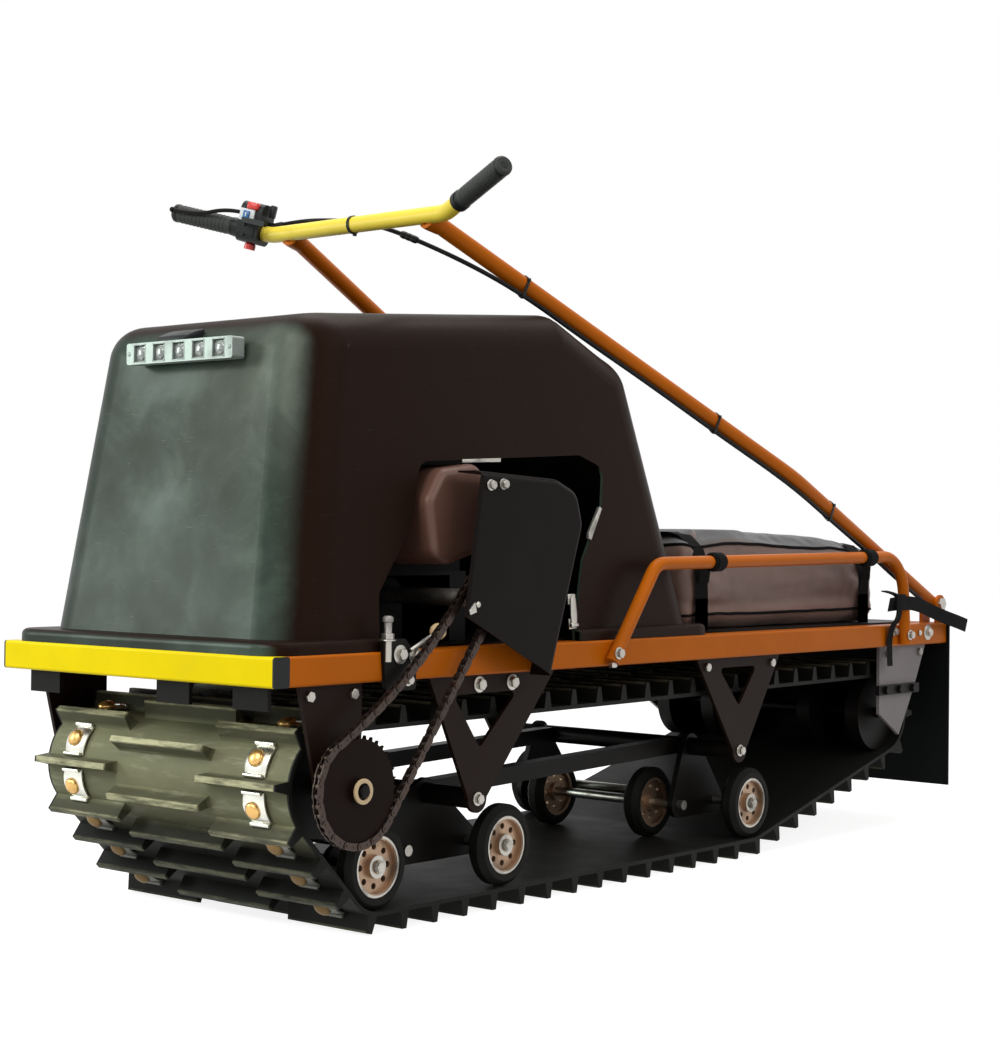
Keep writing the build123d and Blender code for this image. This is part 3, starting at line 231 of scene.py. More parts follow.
class Shop(Tree):
    """One material's nodes round its surface shader."""

    def __init__(self, name):
        self.material = bpy.data.materials.new(name)
        self.material.use_nodes = True
        super().__init__(self.material.node_tree)
        self.surface = self.tree.nodes["Principled BSDF"]
        self.place = Value(self, self.tree.nodes.new("ShaderNodeTexCoord").outputs["Object"])

    def facing(self, axis):
        """How far the surface faces along an axis."""
        return self.node("ShaderNodeTexCoord", output=1).axes()[axis]

    def noise(self, scale, detail=3.0, roughness=0.55, stretch=(1, 1, 1), distortion=0.0):
        """Noise on object coordinates, scale in marks per metre."""
        where = self.node("ShaderNodeMapping", {}, {"Vector": self.place, "Scale": stretch})
        return self.node("ShaderNodeTexNoise", {}, {"Vector": where, "Scale": scale, "Detail": detail,
                                                    "Roughness": roughness, "Distortion": distortion})

    def cells(self, scale):
        return self.node("ShaderNodeTexVoronoi", {"feature": "F1"}, {"Vector": self.place, "Scale": scale})

    def bands(self, scale, direction, distortion=0.4):
        return self.node("ShaderNodeTexWave", {"wave_type": "BANDS", "bands_direction": direction},
                         {"Vector": self.place, "Scale": scale, "Distortion": distortion, "Detail": 1.0})

    def mix(self, share, first, second):
        """Colour between first and second."""
        made = self.tree.nodes.new("ShaderNodeMix")
        made.data_type = "RGBA"
        for index, given in ((0, share), (6, first), (7, second)):
            self.feed(made.inputs[index], given)
        return Value(self, made.outputs[2])

    def bump(self, height, strength, distance):
        return self.node("ShaderNodeBump", {}, {"Height": height, "Strength": strength, "Distance": distance})

    def finish(self, **sockets):
        """Feed the surface shader; names are its sockets with underscores for spaces."""
        for key, given in sockets.items():
            self.feed(self.surface.inputs[key.replace("_", " ")], given)
        return self.material


def shade(colour, factor, lift=0.0):
    return tuple(part * factor + lift for part in colour)


def paint(name, colour, roughness=0.34, wear=0.5, gloss=0.4):
    """Satin paint with orange peel, faint dust and small chips down to dark primer."""
    shop = Shop(name)
    cloud = shop.noise(7.0, 4.0)
    peel = shop.noise(900.0, 2.0)
    speck = shop.noise(150.0, 5.0, 0.7)
    tone = shop.mix(cloud.ramp(0.35, 0.75) * 0.30, colour, shade(colour, 0.70))
    paled = shop.mix(cloud.ramp(0.55, 0.9) * 0.02, tone, (0.42, 0.40, 0.37))
    chips = speck.ramp(0.70 - 0.02 * wear, 0.73) * cloud.ramp(0.45, 0.62) * wear
    return shop.finish(Base_Color=shop.mix(chips, paled, (0.05, 0.04, 0.035)),
                       Roughness=cloud * 0.16 + (roughness - 0.06) + chips * 0.2,
                       Specular_IOR_Level=gloss, Coat_Weight=0.12 * gloss, Coat_Roughness=0.2,
                       Normal=shop.bump(peel + chips * -2.0, 0.06, 0.0006))


def steel(name, colour, roughness=0.32, grime=0.35, metallic=1.0, low_shade=0.0):
    """Bare or plated steel with grime in blotches and fine marks, and painted shade up to a low height."""
    shop = Shop(name)
    blotch = shop.noise(22.0, 5.0, 0.6)
    fine = shop.noise(420.0, 3.0, 0.6)
    grime_and_shade = blotch.ramp(0.46, 0.72) * grime
    # Below a low height the steel goes darker and duller: painted shade on the belt's lower run
    if low_shade:
        grime_and_shade = grime_and_shade.most((1.0 - shop.place.axes()[2].ramp(0.115, 0.165)) * low_shade)
    return shop.finish(Base_Color=shop.mix(grime_and_shade, colour, shade(colour, 0.22)),
                       Metallic=metallic - grime_and_shade * (0.5 * metallic),
                       Roughness=fine * 0.2 + (roughness - 0.1) + grime_and_shade * 0.3,
                       Normal=shop.bump(fine, 0.08, 0.0004))


def rubber(name, colour, roughness=0.62, dusting=0.3):
    """Moulded rubber with a fine matt grain and pale dust on its faces."""
    shop = Shop(name)
    cloud = shop.noise(14.0, 5.0, 0.62)
    fine = shop.noise(700.0, 3.0, 0.6)
    return shop.finish(Base_Color=shop.mix(cloud.ramp(0.42, 0.78) * dusting, colour, (0.20, 0.20, 0.17)),
                       Roughness=cloud * 0.22 + (roughness - 0.11), Specular_IOR_Level=0.10,
                       Normal=shop.bump(fine + cloud * 1.5, 0.16, 0.0012))


def plastic(name, colour, roughness=0.42, coat=0.0, gloss=0.4):
    """Moulded plastic with a fine pebble grain."""
    shop = Shop(name)
    pebble = shop.cells(1300.0)
    cloud = shop.noise(9.0, 3.0)
    return shop.finish(Base_Color=shop.mix(cloud.ramp(0.4, 0.8) * 0.3, colour, shade(colour, 1.5, 0.004)),
                       Roughness=cloud * 0.12 + (roughness - 0.06), Specular_IOR_Level=gloss, Coat_Weight=coat,
                       Normal=shop.bump(pebble, 0.08, 0.0004))


def hood_shell(name, colour, front):
    """Large black moulding: soft sheen, long fine scratches; its front faces are painted a lit green-grey, with
    painted sheen in patches, a painted highlight band along the near edge and a painted highlight at the upper near
    corner.
    """
    shop = Shop(name)
    _, left, up = shop.place.axes()
    facing = shop.facing(0).ramp(0.60, 0.96)
    cloud = shop.noise(3.2, 5.0, 0.6)
    patch = shop.noise(9.0, 6.0, 0.65, distortion=0.6)
    scratch = shop.noise(60.0, 4.0, 0.75, stretch=(0.5, 0.35, 3.4), distortion=1.4)
    hair = shop.noise(210.0, 2.0, 0.5, stretch=(0.2, 0.15, 1.6), distortion=2.0)
    fine = shop.noise(1600.0, 2.0)
    marks = scratch.ramp(0.64, 0.70) * patch.ramp(0.50, 0.64) * 0.6 + hair.ramp(0.68, 0.73) * 0.25
    marks = marks * (facing * 0.8 + 0.2)
    # Front faces take the lighter green-grey front colour: painted light, a lit copy of the black
    lit = shop.mix(facing, colour, front)
    # Broad lighter patches on the front faces: painted sheen
    broad = shop.mix(cloud.ramp(0.42, 0.66) * facing * 0.55, lit, shade(front, 3.0, 0.004))
    # Lighter mottle on the front faces only: painted sheen
    paled = shop.mix(patch.ramp(0.50, 0.78) * facing * 0.24, broad, shade(front, 3.2, 0.006))
    # Paler patch at the front's upper near corner: a painted highlight
    corner_highlight = up.ramp(0.54, 0.82) * left.ramp(-0.06, 0.20) * facing * (patch.ramp(0.36, 0.66) * 0.3 + 0.6)
    # Paler green band along the front's near edge: a painted highlight
    edge = left.ramp(0.10, 0.215) * facing * (patch.ramp(0.40, 0.60) * 0.5 + 0.3)
    pale = shop.mix(corner_highlight * 0.55, shop.mix(edge * 0.6, paled, (0.060, 0.100, 0.076)), (0.172, 0.192, 0.150))
    sheen = cloud.ramp(0.34, 0.66) * 0.26 + patch.ramp(0.44, 0.68) * 0.08 + (1.0 - up.ramp(0.44, 0.62)) * 0.11 + 0.07
    return shop.finish(Base_Color=shop.mix(marks, pale, (0.17, 0.18, 0.16)),
                       Roughness=cloud * 0.22 + 0.30 + marks * 0.15, Specular_IOR_Level=0.07,
                       Specular_Tint=(1.0, 0.70, 0.56, 1.0), Coat_Weight=facing * sheen, Coat_Roughness=0.30,
                       Normal=shop.bump(fine + cloud * 6.0 - marks * 3.0, 0.06, 0.0012))


def belt_height(shop):
    """How far a point of the track stands outside the belt, along its runs and round its wheels."""
    forward, _, up = shop.place.axes()
    height = None
    count = len(BELT_WHEELS)
    for index, (x, z, radius) in enumerate(BELT_WHEELS):
        before, after = (outward(BELT_WHEELS[(index + step) % count], BELT_WHEELS[(index + step + 1) % count])
                         for step in (-1, 0))
        dx, dz = forward - (MID + x), up - z
        inside = (dz * before[0] - dx * before[1]).above(0.0) * (dx * after[1] - dz * after[0]).above(0.0)
        round_wheel = ((dx * dx + dz * dz) ** 0.5 - (radius + BELT_OUTSIDE)) * inside
        run = dx * after[0] + dz * after[1] - (radius + BELT_OUTSIDE)
        for reach in (round_wheel, run):
            height = reach if height is None else height.most(reach)
    return height


def track_rubber(name, colour):
    """Track rubber: olive dust on the slats, shown only on the lit front arc, so the rest of the belt is painted
    shade; darker lugs, with painted highlights on their tips.
    """
    shop = Shop(name)
    height = belt_height(shop)
    cloud = shop.noise(11.0, 6.0, 0.65)
    grain = shop.noise(520.0, 4.0, 0.65)
    streak = shop.noise(46.0, 4.0, 0.7, stretch=(1.6, 0.25, 1.6))
    forward, across, up = shop.place.axes()
    # Lit front arc: dust shows only here, so the rest of the belt is painted shade
    lit_front = up.ramp(0.105, 0.175) * forward.ramp(MID + 0.70, MID + 0.79)
    # Less dust on the lug sides than on the slats: a painted shade line by each lug
    slat = (1.0 - height.ramp(0.001, 0.009) * 0.55) * height.ramp(-0.002, -0.0008) * lit_front
    # Pale lug tips: painted highlights, strongest on the lit front
    tip = height.ramp(0.0195, 0.0228) * (lit_front * 0.75 + 0.25)
    rim = 1.0 - (across * across).ramp(0.0600, 0.0615)
    # Olive dust, confined to the lit front: dust and painted light
    paled = shop.mix(slat * rim * (cloud * 0.5 + 0.60), colour, (0.235, 0.235, 0.140))
    # Paler dust streaks, on the same lit front
    streaked = shop.mix(streak.ramp(0.50, 0.74) * slat * rim * 0.5, paled, (0.42, 0.42, 0.30))
    # The pale lug tips: painted highlights
    painted_shading = shop.mix(tip * rim * (streak.ramp(0.36, 0.62) * 0.75 + 0.12), streaked, (0.62, 0.60, 0.38))
    return shop.finish(Base_Color=painted_shading, Roughness=cloud * 0.3 + 0.38, Specular_IOR_Level=0.10,
                       Normal=shop.bump(grain + streak * 1.6, 0.25, 0.0016))


def coated_cloth(name, colour):
    """Coated bag fabric: soft vinyl sheen over a plain weave, with painted shade along its creases, a painted
    highlight on the low band and a dark top.
    """
    shop = Shop(name)
    weave = shop.bands(620.0, "X") + shop.bands(620.0, "Z")
    crease = shop.noise(9.0, 5.0, 0.6, distortion=1.0)
    cloud = shop.noise(5.0, 4.0)
    up = shop.place.axes()[2]
    faded = shop.mix(cloud.ramp(0.35, 0.75) * 0.5, colour, shade(colour, 1.45, 0.01))
    # Darker along the bumped creases: painted shade
    painted_shading = shop.mix(crease.ramp(0.58, 0.72) * 0.35, faded, shade(colour, 0.6))
    # Lighter below the side's fold: a painted highlight on the low band
    low = shop.mix((1.0 - up.ramp(0.415, 0.440)) * 0.7, painted_shading, shade(colour, 1.7, 0.01))
    top = shop.mix(shop.facing(2).ramp(0.50, 0.85) * up.ramp(0.470, 0.500), low, (0.014, 0.015, 0.017))
    return shop.finish(Base_Color=top, Roughness=crease * 0.25 + 0.28, Sheen_Weight=0.12,
                       Coat_Weight=0.12, Coat_Roughness=0.35,
                       Normal=shop.bump(weave + crease * 14.0, 0.22, 0.0012))


def webbing(name, colour):
    """Flat woven strap with close ribs."""
    shop = Shop(name)
    rib = shop.bands(260.0, "DIAGONAL", 0.3)
    cloud = shop.noise(30.0, 3.0)
    return shop.finish(Base_Color=shop.mix(rib * 0.35 + cloud * 0.2, colour, shade(colour, 2.4, 0.001)),
                       Roughness=0.72, Specular_IOR_Level=0.06,
                       Normal=shop.bump(rib, 0.35, 0.0006))


def lamp_lens(name, colour):
    """Pale ringed lens under a clear coat."""
    shop = Shop(name)
    rings = shop.cells(260.0)
    return shop.finish(Base_Color=shop.mix(rings.ramp(0.1, 0.6), colour, shade(colour, 0.5)), Roughness=0.08,
                       Coat_Weight=0.8, Coat_Roughness=0.04, Normal=shop.bump(rings, 0.2, 0.0008))


# Each slot or trim: its kind of finish, colour and how it differs from that kind
FINISHES = {
    "frame_paint": (paint, (0.56, 0.135, 0.004), dict(gloss=0.08)),
    # front_paint and bar_paint yellows are painted light: lit copies of the orange frame paint, for the faces that
    # catch the light
    "front_paint": (paint, (0.94, 0.72, 0.001), dict(wear=0.08, gloss=0.06)),
    "bar_paint": (paint, (0.95, 0.74, 0.080), dict(wear=0.2, gloss=0.25)),
    "dark_plastic": (plastic, (0.009, 0.010, 0.011), dict(gloss=0.2)),
    "red_plastic": (plastic, (0.62, 0.035, 0.03), dict(roughness=0.3, coat=0.3)),
    # hood_plastic's front colour is painted light: the lit green-grey that its front faces take in place of the black
    "hood_plastic": (hood_shell, (0.0115, 0.0050, 0.0030), dict(front=(0.0150, 0.0275, 0.0210))),
    "black_steel": (paint, (0.0045, 0.0035, 0.003), dict(roughness=0.42, wear=0.2, gloss=0.10)),
    # hanger_paint's near-black brown is painted shade: the dark look the hangers have in shadow
    "hanger_paint": (paint, (0.013, 0.006, 0.004), dict(roughness=0.46, wear=0.2, gloss=0.08)),
    "guard_paint": (paint, (0.0066, 0.0045, 0.0040), dict(roughness=0.34, wear=0.1, gloss=0.06)),
    "plate_grey": (paint, (0.20, 0.175, 0.178), dict(roughness=0.5, wear=0.4)),
    "lamp_housing": (steel, (0.34, 0.38, 0.36), dict(roughness=0.40, grime=0.3, metallic=0.3)),
    "engine_iron": (paint, (0.007, 0.006, 0.006), dict(roughness=0.5, wear=0.3, gloss=0.08)),
    "sprocket_steel": (paint, (0.0100, 0.0050, 0.0040), dict(roughness=0.5, wear=0.2, gloss=0.05)),
    "chain_steel": (steel, (0.060, 0.042, 0.034), dict(roughness=0.34, metallic=0.8)),
    "bare_steel": (steel, (0.46, 0.44, 0.40), dict(roughness=0.34, grime=0.7)),
    "disc_gold": (steel, (0.40, 0.27, 0.18), dict(roughness=0.36, metallic=0.7, grime=0.6)),
    "roller_rubber": (rubber, (0.006, 0.006, 0.005), dict(dusting=0.04)),
    "track_rubber": (track_rubber, (0.010, 0.010, 0.009), {}),
    "bag_vinyl": (coated_cloth, (0.150, 0.082, 0.062), {}),
    "webbing": (webbing, (0.003, 0.003, 0.003), {}),
    "flap_rubber": (rubber, (0.0012, 0.0018, 0.0018), dict(dusting=0.0)),
    "grip_rubber": (rubber, (0.042, 0.046, 0.043), dict(roughness=0.45, dusting=0.12)),
    "cable_rubber": (rubber, (0.010, 0.010, 0.011), dict(roughness=0.42, dusting=0.05)),
    # The pulley housing is black steel; this lighter brown is a painted highlight
    "pulley_cover": (paint, (0.150, 0.074, 0.054), dict(roughness=0.38, wear=0.1, gloss=0.3)),
    # Both clip finishes go dark below a low height: painted shade on the belt's lower run
    "bright_clip": (steel, (0.78, 0.77, 0.70), dict(roughness=0.28, grime=0.25, low_shade=0.97)),
    "clip_dome": (steel, (0.82, 0.50, 0.17), dict(roughness=0.28, grime=0.3, metallic=0.8, low_shade=0.95)),
    "lamp_lens": (lamp_lens, (0.42, 0.46, 0.44), {}),
    "white_plastic": (plastic, (0.62, 0.66, 0.68), dict(roughness=0.3, coat=0.2)),
    "blue_plastic": (plastic, (0.02, 0.12, 0.32), dict(roughness=0.3, coat=0.2)),
    "knob_plastic": (plastic, (0.66, 0.48, 0.26), dict(roughness=0.25, coat=0.4)),
}
MADE = {}


def material(name):
    """The finished material of a slot or a trim, made once."""
    if name not in MADE:
        kind, colour, more = FINISHES[name]
        MADE[name] = kind(name, colour, **more)
    return MADE[name]


def settings():
    return bpy.context.scene.snow_tug


def number(name, description, default, **more):
    return bpy.props.FloatProperty(name=name, description=description, default=default, **more)


def power(name, what, default):
    return number(name, f"Power of the light {what}", default, min=0.0, unit="POWER")


class TugSettings(bpy.types.PropertyGroup):
    """Sizes and colours that a user would change."""
    floor_colour: bpy.props.FloatVectorProperty(
        name="Floor colour", description="Colour of the floor and backdrop", size=3, subtype="COLOR",
        default=(0.38, 0.38, 0.38))
    sheen_power: power("Sheen light", "that glances off the hood's front", 26.0)
    key_power: power("Key light", "in front", 64.0)
    side_power: power("Side light", "on the near side", 30.0)
    top_power: power("Top light", "overhead", 52.0)
    camera_place: bpy.props.FloatVectorProperty(
        name="Camera place", description="Where the camera stands", size=3, subtype="TRANSLATION",
        default=(2.6796, 2.1210, 0.5364))
    camera_turn: number("Camera turn", "Heading of the view from straight across the tug", 0.8736, subtype="ANGLE")
    camera_tilt: number("Camera tilt", "Upward tilt of the view", 0.0108, subtype="ANGLE")
    camera_roll: number("Camera roll", "Roll of the view", 0.0106, subtype="ANGLE")
    camera_lens: number("Camera lens", "Focal length in millimetres", 69.52, min=10.0)
    clip_width: number("Track clip width", "Width of each steel clip on the track", 0.042, unit="LENGTH")
    strap_width: number("Strap width", "Width of the webbing over the bag", 0.038, unit="LENGTH")
    bag_pressure: number("Bag pressure", "How hard the bag's filling pushes outwards", 4.0, min=0.0)


class Form:
    """One piece's mesh, built up with bmesh operators."""

    def __init__(self):
        self.mesh = bmesh.new()

    def stamp(self, pattern, matrix):
        """Copy a finished pattern to a place."""
        start = len(self.mesh.verts)
        self.mesh.from_mesh(pattern)
        self.mesh.verts.ensure_lookup_table()
        bmesh.ops.transform(self.mesh, matrix=matrix, verts=self.mesh.verts[start:])
        return self

    def lathe(self, profile, steps=28):
        """Spin a line of (radius, height) points round the upright axis."""
        verts = [self.mesh.verts.new((radius, 0, height)) for radius, height in profile]
        edges = [self.mesh.edges.new(pair) for pair in zip(verts, verts[1:])]
        bmesh.ops.spin(self.mesh, geom=verts + edges, cent=(0, 0, 0), axis=(0, 0, 1), angle=TAU, steps=steps,
                       use_merge=True)
        bmesh.ops.remove_doubles(self.mesh, verts=self.mesh.verts, dist=1e-6)
        return self

    def prism(self, sides, radius, bottom, top):
        """Upright prism or cylinder from bottom to top."""
        bmesh.ops.create_cone(self.mesh, cap_ends=True, segments=sides, radius1=radius, radius2=radius,
                              depth=top - bottom, matrix=Matrix.Translation((0, 0, (bottom + top) / 2)))
        return self

    def block(self, size, middle=(0, 0, 0)):
        bmesh.ops.create_cube(self.mesh, size=1.0, matrix=Matrix.Translation(middle) @ Matrix.Diagonal((*size, 1)))
        return self

    def plate(self, outline, thickness):
        """Flat plate of an outline in forward and up, thick towards the machine's left."""
        verts = [self.mesh.verts.new((x, 0, z)) for x, z in outline]
        made = bmesh.ops.extrude_face_region(self.mesh, geom=[self.mesh.faces.new(verts)])
        raised = [part for part in made["geom"] if isinstance(part, bmesh.types.BMVert)]
        bmesh.ops.translate(self.mesh, verts=raised, vec=(0, thickness, 0))
        return self

    def ribbon(self, path, across, width, thickness):
        """Webbing along a path; across gives the width's direction at each point."""
        steps = len(path) - 1
        band = bmesh.ops.create_grid(self.mesh, x_segments=steps, y_segments=2, size=0.5)["verts"]
        for vert in band:
            index = round((vert.co.x + 0.5) * steps)
            vert.co = path[index] + across[index] * (width * vert.co.y)
        faces = list({face for vert in band for face in vert.link_faces})
        bmesh.ops.solidify(self.mesh, geom=faces, thickness=thickness)
        return self

    def soften(self, width, segments=2, sharpness=0.6):
        """Bevel the sharp edges."""
        edges = [edge for edge in self.mesh.edges if len(edge.link_faces) == 2
                 and edge.calc_face_angle() > sharpness]
        bmesh.ops.bevel(self.mesh, geom=edges, offset=width, offset_type="OFFSET", segments=segments, profile=0.5,
                        affect="EDGES", material=-1, clamp_overlap=True)
        return self

    def both_sides(self):
        """Repeat everything on the machine's other side."""
        bmesh.ops.mirror(self.mesh, geom=self.mesh.verts[:] + self.mesh.edges[:] + self.mesh.faces[:],
                         matrix=Matrix.Identity(4), merge_dist=-1.0, axis="Y")
        return self

    def done(self, name="pattern", crease=0.62):
        """The finished mesh, shaded smooth between its sharp edges."""
        bmesh.ops.recalc_face_normals(self.mesh, faces=self.mesh.faces)
        mesh = bpy.data.meshes.new(name)
        self.mesh.to_mesh(mesh)
        self.mesh.free()
        mesh.shade_smooth()
        mesh.set_sharp_from_angle(angle=crease)
        return mesh


def dress(made, slot, body, stand_for=(), finish=None):
    """Give an object its finish and body, and the nodes that it stands for."""
    made.data.materials.append(material(finish or slot))
    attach(made, body)
    if stand_for:
        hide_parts(*stand_for)


def placed(name, data):
    """New object in the scene."""
    made = bpy.data.objects.new(name, data)
    bpy.context.scene.collection.objects.link(made)
    return made


def piece(name, form, slot, body, stand_for=(), finish=None, crease=0.62):
    """Make a form an object and dress it."""
    dress(placed(name, form.done(name, crease)), slot, body, stand_for, finish)


def settled(made):
    """The object's mesh with its modifiers applied."""
    graph = bpy.context.evaluated_depsgraph_get()
    graph.update()
    return bpy.data.meshes.new_from_object(made.evaluated_get(graph), depsgraph=graph)


def spline(name, points, radius=0.0):
    """Smooth curve whose control points are the given points."""
    data = bpy.data.curves.new(name, "CURVE")
    data.dimensions = "3D"
    data.resolution_u = 10
    data.bevel_depth = radius
    data.bevel_resolution = 4
    data.use_fill_caps = True
    line = data.splines.new("NURBS")
    line.points.add(len(points) - 1)
    for point, place in zip(line.points, points):
        point.co = (*place, 1.0)
    line.order_u = 3
    line.use_endpoint_u = True
    return placed(name, data)


def followed(points):
    """Points along the smooth curve of some control points."""
    made = spline("route", points)
    mesh = settled(made)
    route = [vert.co.copy() for vert in mesh.vertices]
    bpy.data.objects.remove(made)
    bpy.data.meshes.remove(mesh)
    return route


def rod(points, radius):
    """Mesh of a round rod along the smooth curve of some control points."""
    made = spline("rod", points, radius)
    mesh = settled(made)
    bpy.data.objects.remove(made)
    return mesh


def hex_bolt(across, head, washer=0.0):
    """Hex head on its washer."""
    form = Form()
    base = 0.0
    if washer:
        base = 0.0018
        form.prism(28, washer / 2, 0.0, base)
    form.prism(6, across / math.sqrt(3), base, base + head).soften(0.0007)
    form.prism(20, across * 0.42, base + head, base + head + 0.0006)
    return form.done()


def dome_bolt(radius, height):
    """Round-headed bolt or rivet."""
    profile = [(radius, 0.0), (radius, height * 0.25)]
    profile += [(radius * math.cos(a), height * (0.25 + 0.75 * math.sin(a))) for a in (0.35, 0.75, 1.15)]
    return Form().lathe([*profile, (0.0, height)], 20).done()


def ring(inner, outer, bottom, top):
    """Closed profile of a plain ring."""
    return [(inner, bottom), (outer, bottom), (outer, top), (inner, top), (inner, bottom)]


def washer_ring(outer, inner, thickness):
    return Form().lathe(ring(inner, outer, 0.0, thickness)).soften(0.0005).done()


def brick(size, soft, segments=2):
    """Block with softened edges."""
    return Form().block(size).soften(soft, segments).done()


def sheet(outline, thickness, soft):
    """Flat plate with softened edges."""
    return Form().plate(outline, thickness).soften(soft).done()


def ball(place, radius, subdivisions):
    """Form of a ball at a place."""
    form = Form()
    bmesh.ops.create_icosphere(form.mesh, subdivisions=subdivisions, radius=radius,
                               matrix=Matrix.Translation(place))
    return form


def outward(first, second):
    """Direction from two wheels' middles to the straight run of a belt between them."""
    (x1, z1, r1), (x2, z2, r2) = first, second
    distance = math.hypot(x2 - x1, z2 - z1)
    run = ((x2 - x1) / distance, (z2 - z1) / distance)
    lean = (r1 - r2) / distance
    square = math.sqrt(1 - lean ** 2)
    return run[0] * lean + run[1] * square, run[1] * lean - run[0] * square


class Loop:
    """Closed line round some wheels, at an offset outside them."""

    def __init__(self, wheels, offset, sag=0.0):
        self.spans = []
        self.length = 0.0
        count = len(wheels)
        sides = [outward(wheels[index], wheels[(index + 1) % count]) for index in range(count)]
        for index, (x, z, radius) in enumerate(wheels):
            arrive, leave = (math.atan2(side[1], side[0]) for side in (sides[index - 1], sides[index]))
            turn = (leave - arrive) % TAU
            self._add(("arc", x, z, radius + offset, arrive, turn, (radius + offset) * turn))
            x2, z2, radius2 = wheels[(index + 1) % count]
            nx, nz = sides[index]
            start = (x + nx * (radius + offset), z + nz * (radius + offset))
            end = (x2 + nx * (radius2 + offset), z2 + nz * (radius2 + offset))
            self._add(("line", *start, *end, (nx, nz), sag if nz > 0 else 0.0,
                       math.hypot(end[0] - start[0], end[1] - start[1])))

    def _add(self, part):
        self.spans.append((self.length, part))
        self.length += part[-1]

    def place(self, along):
        """Forward and up of a point along the loop, and the direction out of the loop there."""
        along %= self.length
        start, part = [span for span in self.spans if span[0] <= along][-1]
        share = (along - start) / max(part[-1], 1e-9)
        if part[0] == "arc":
            _, x, z, radius, arrive, turn, _ = part
            angle = arrive + turn * share
            return (x + radius * math.cos(angle), z + radius * math.sin(angle)), (math.cos(angle), math.sin(angle))
        _, x1, z1, x2, z2, (nx, nz), sag, _ = part
        drop = 4 * share * (1 - share) * sag
        return (x1 + (x2 - x1) * share - nx * drop, z1 + (z2 - z1) * share - nz * drop), (nx, nz)


class TUG_OT_finishes(bpy.types.Operator):
    """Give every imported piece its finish"""
    bl_idname = "tug.finishes"
    bl_label = "Finishes"

    def execute(self, context):
        finish_of = {part["node"]: part["material_slot"] for part in frame["record"]["subparts"]}
        # The pulley housing gets a lighter brown than its black slot: a painted highlight
        finish_of["pulley_housing"] = "pulley_cover"
        for name, node in NODES.items():
            node.data.materials.clear()
            node.data.materials.append(material(finish_of[name]))
        return {"FINISHED"}


def add_tie(form, place, along, radius, route):
    """Flat tie round a tube and the cable beside it."""
    near = min(route, key=lambda point: (point - place).length)
    offset = near - place
    offset -= along * offset.dot(along)
    made = bmesh.ops.create_circle(form.mesh, segments=40, radius=1.0, matrix=stand((0, 0, 0), along))["verts"]
    for vert in made:
        way = vert.co.normalized()
        beside = way * (CABLE_RADIUS + 0.0006) + offset
        over = way * (radius + 0.0004)
        vert.co = place + (beside if beside.dot(way) > over.dot(way) else over) - along * (TIE_WIDTH / 2)
    edges = list({edge for vert in made for edge in vert.link_edges})
    grown = bmesh.ops.extrude_edge_only(form.mesh, edges=edges)["geom"]
    bmesh.ops.translate(form.mesh, vec=along * TIE_WIDTH,
                        verts=[part for part in grown if isinstance(part, bmesh.types.BMVert)])
    faces = [part for part in grown if isinstance(part, bmesh.types.BMFace)]
    bmesh.ops.recalc_face_normals(form.mesh, faces=faces)
    bmesh.ops.solidify(form.mesh, geom=faces, thickness=-TIE_THICKNESS)
    head = brick((0.0055, 0.0045, 0.0055), 0.0008)
    side = offset.cross(along).normalized()
    form.stamp(head, Matrix.Translation(place + side * (radius + 0.0018)))


class TUG_OT_cable(bpy.types.Operator):
    """Hang the throttle cable from the bar and the left tube, with its ties, sleeve and adjuster"""
    bl_idname = "tug.cable"
    bl_label = "Throttle cable"

    def execute(self, context):
        cable = spline("throttle_cable", CABLE, CABLE_RADIUS)
        dress(cable, "cable_rubber", "handle", ("control_cable",))
        route = followed(CABLE)
        ties = Form()
        for first, last, share in ((TUBE_FRONT, TUBE_KNEE, 0.23), (TUBE_FRONT, TUBE_KNEE, 0.75),
                                   (TUBE_KNEE, TUBE_REAR, 0.22)):
            add_tie(ties, first.lerp(last, share), (last - first).normalized(), TUBE_RADIUS, route)
        add_tie(ties, BAR + Vector((0, -0.004, 0)), LEFT, BAR_RADIUS, route)
        piece("cable_ties", ties, "dark_plastic", "handle")
        sleeve = Form()
        start = min(range(len(route)), key=lambda index: (route[index] - SLEEVE_START).length)
        for index in (start, start + 1, start + 2):
            run = route[index + 1] - route[index]
            grip = Form().lathe([(0, -0.001), (0.0050, -0.001), (0.0058, 0.002), (0.0058, run.length - 0.002),
                                 (0.0050, run.length + 0.001), (0, run.length + 0.001)], 18)
            sleeve.stamp(grip.done(), stand(route[index], run))
        barrel = Form().lathe([(0, -0.006), (0.0062, -0.006), (0.0062, 0.004), (0.0048, 0.006), (0.0048, 0.020),
                               (0.0040, 0.022), (0, 0.022)], 18)
        sleeve.stamp(barrel.done(), stand(route[0], route[1] - route[0]))
        piece("cable_sleeve", sleeve, "dark_plastic", "handle")
        return {"FINISHED"}


def saddle_clip(width, length):
    """Saddle clip with rolled ends, bowed over the belt."""
    form = Form()
    bmesh.ops.create_grid(form.mesh, x_segments=6, y_segments=8, size=0.5)
    for vert in form.mesh.verts:
        x, y = vert.co.x * 2, vert.co.y * 2
        vert.co = Vector((x * width / 2 * (1 - 0.12 * y * y), y * length / 2,
                          0.0018 + 0.0072 * (1 - y * y) - 0.0026 * x ** 4))
    bmesh.ops.solidify(form.mesh, geom=form.mesh.faces[:], thickness=0.0022)
    roll = Form().prism(10, 0.0034, -width * 0.42, width * 0.42).soften(0.0008, 1).done()
    for end in (-1, 1):
        form.stamp(roll, stand((0, end * length / 2, 0.0034), FORWARD))
    return form.done()


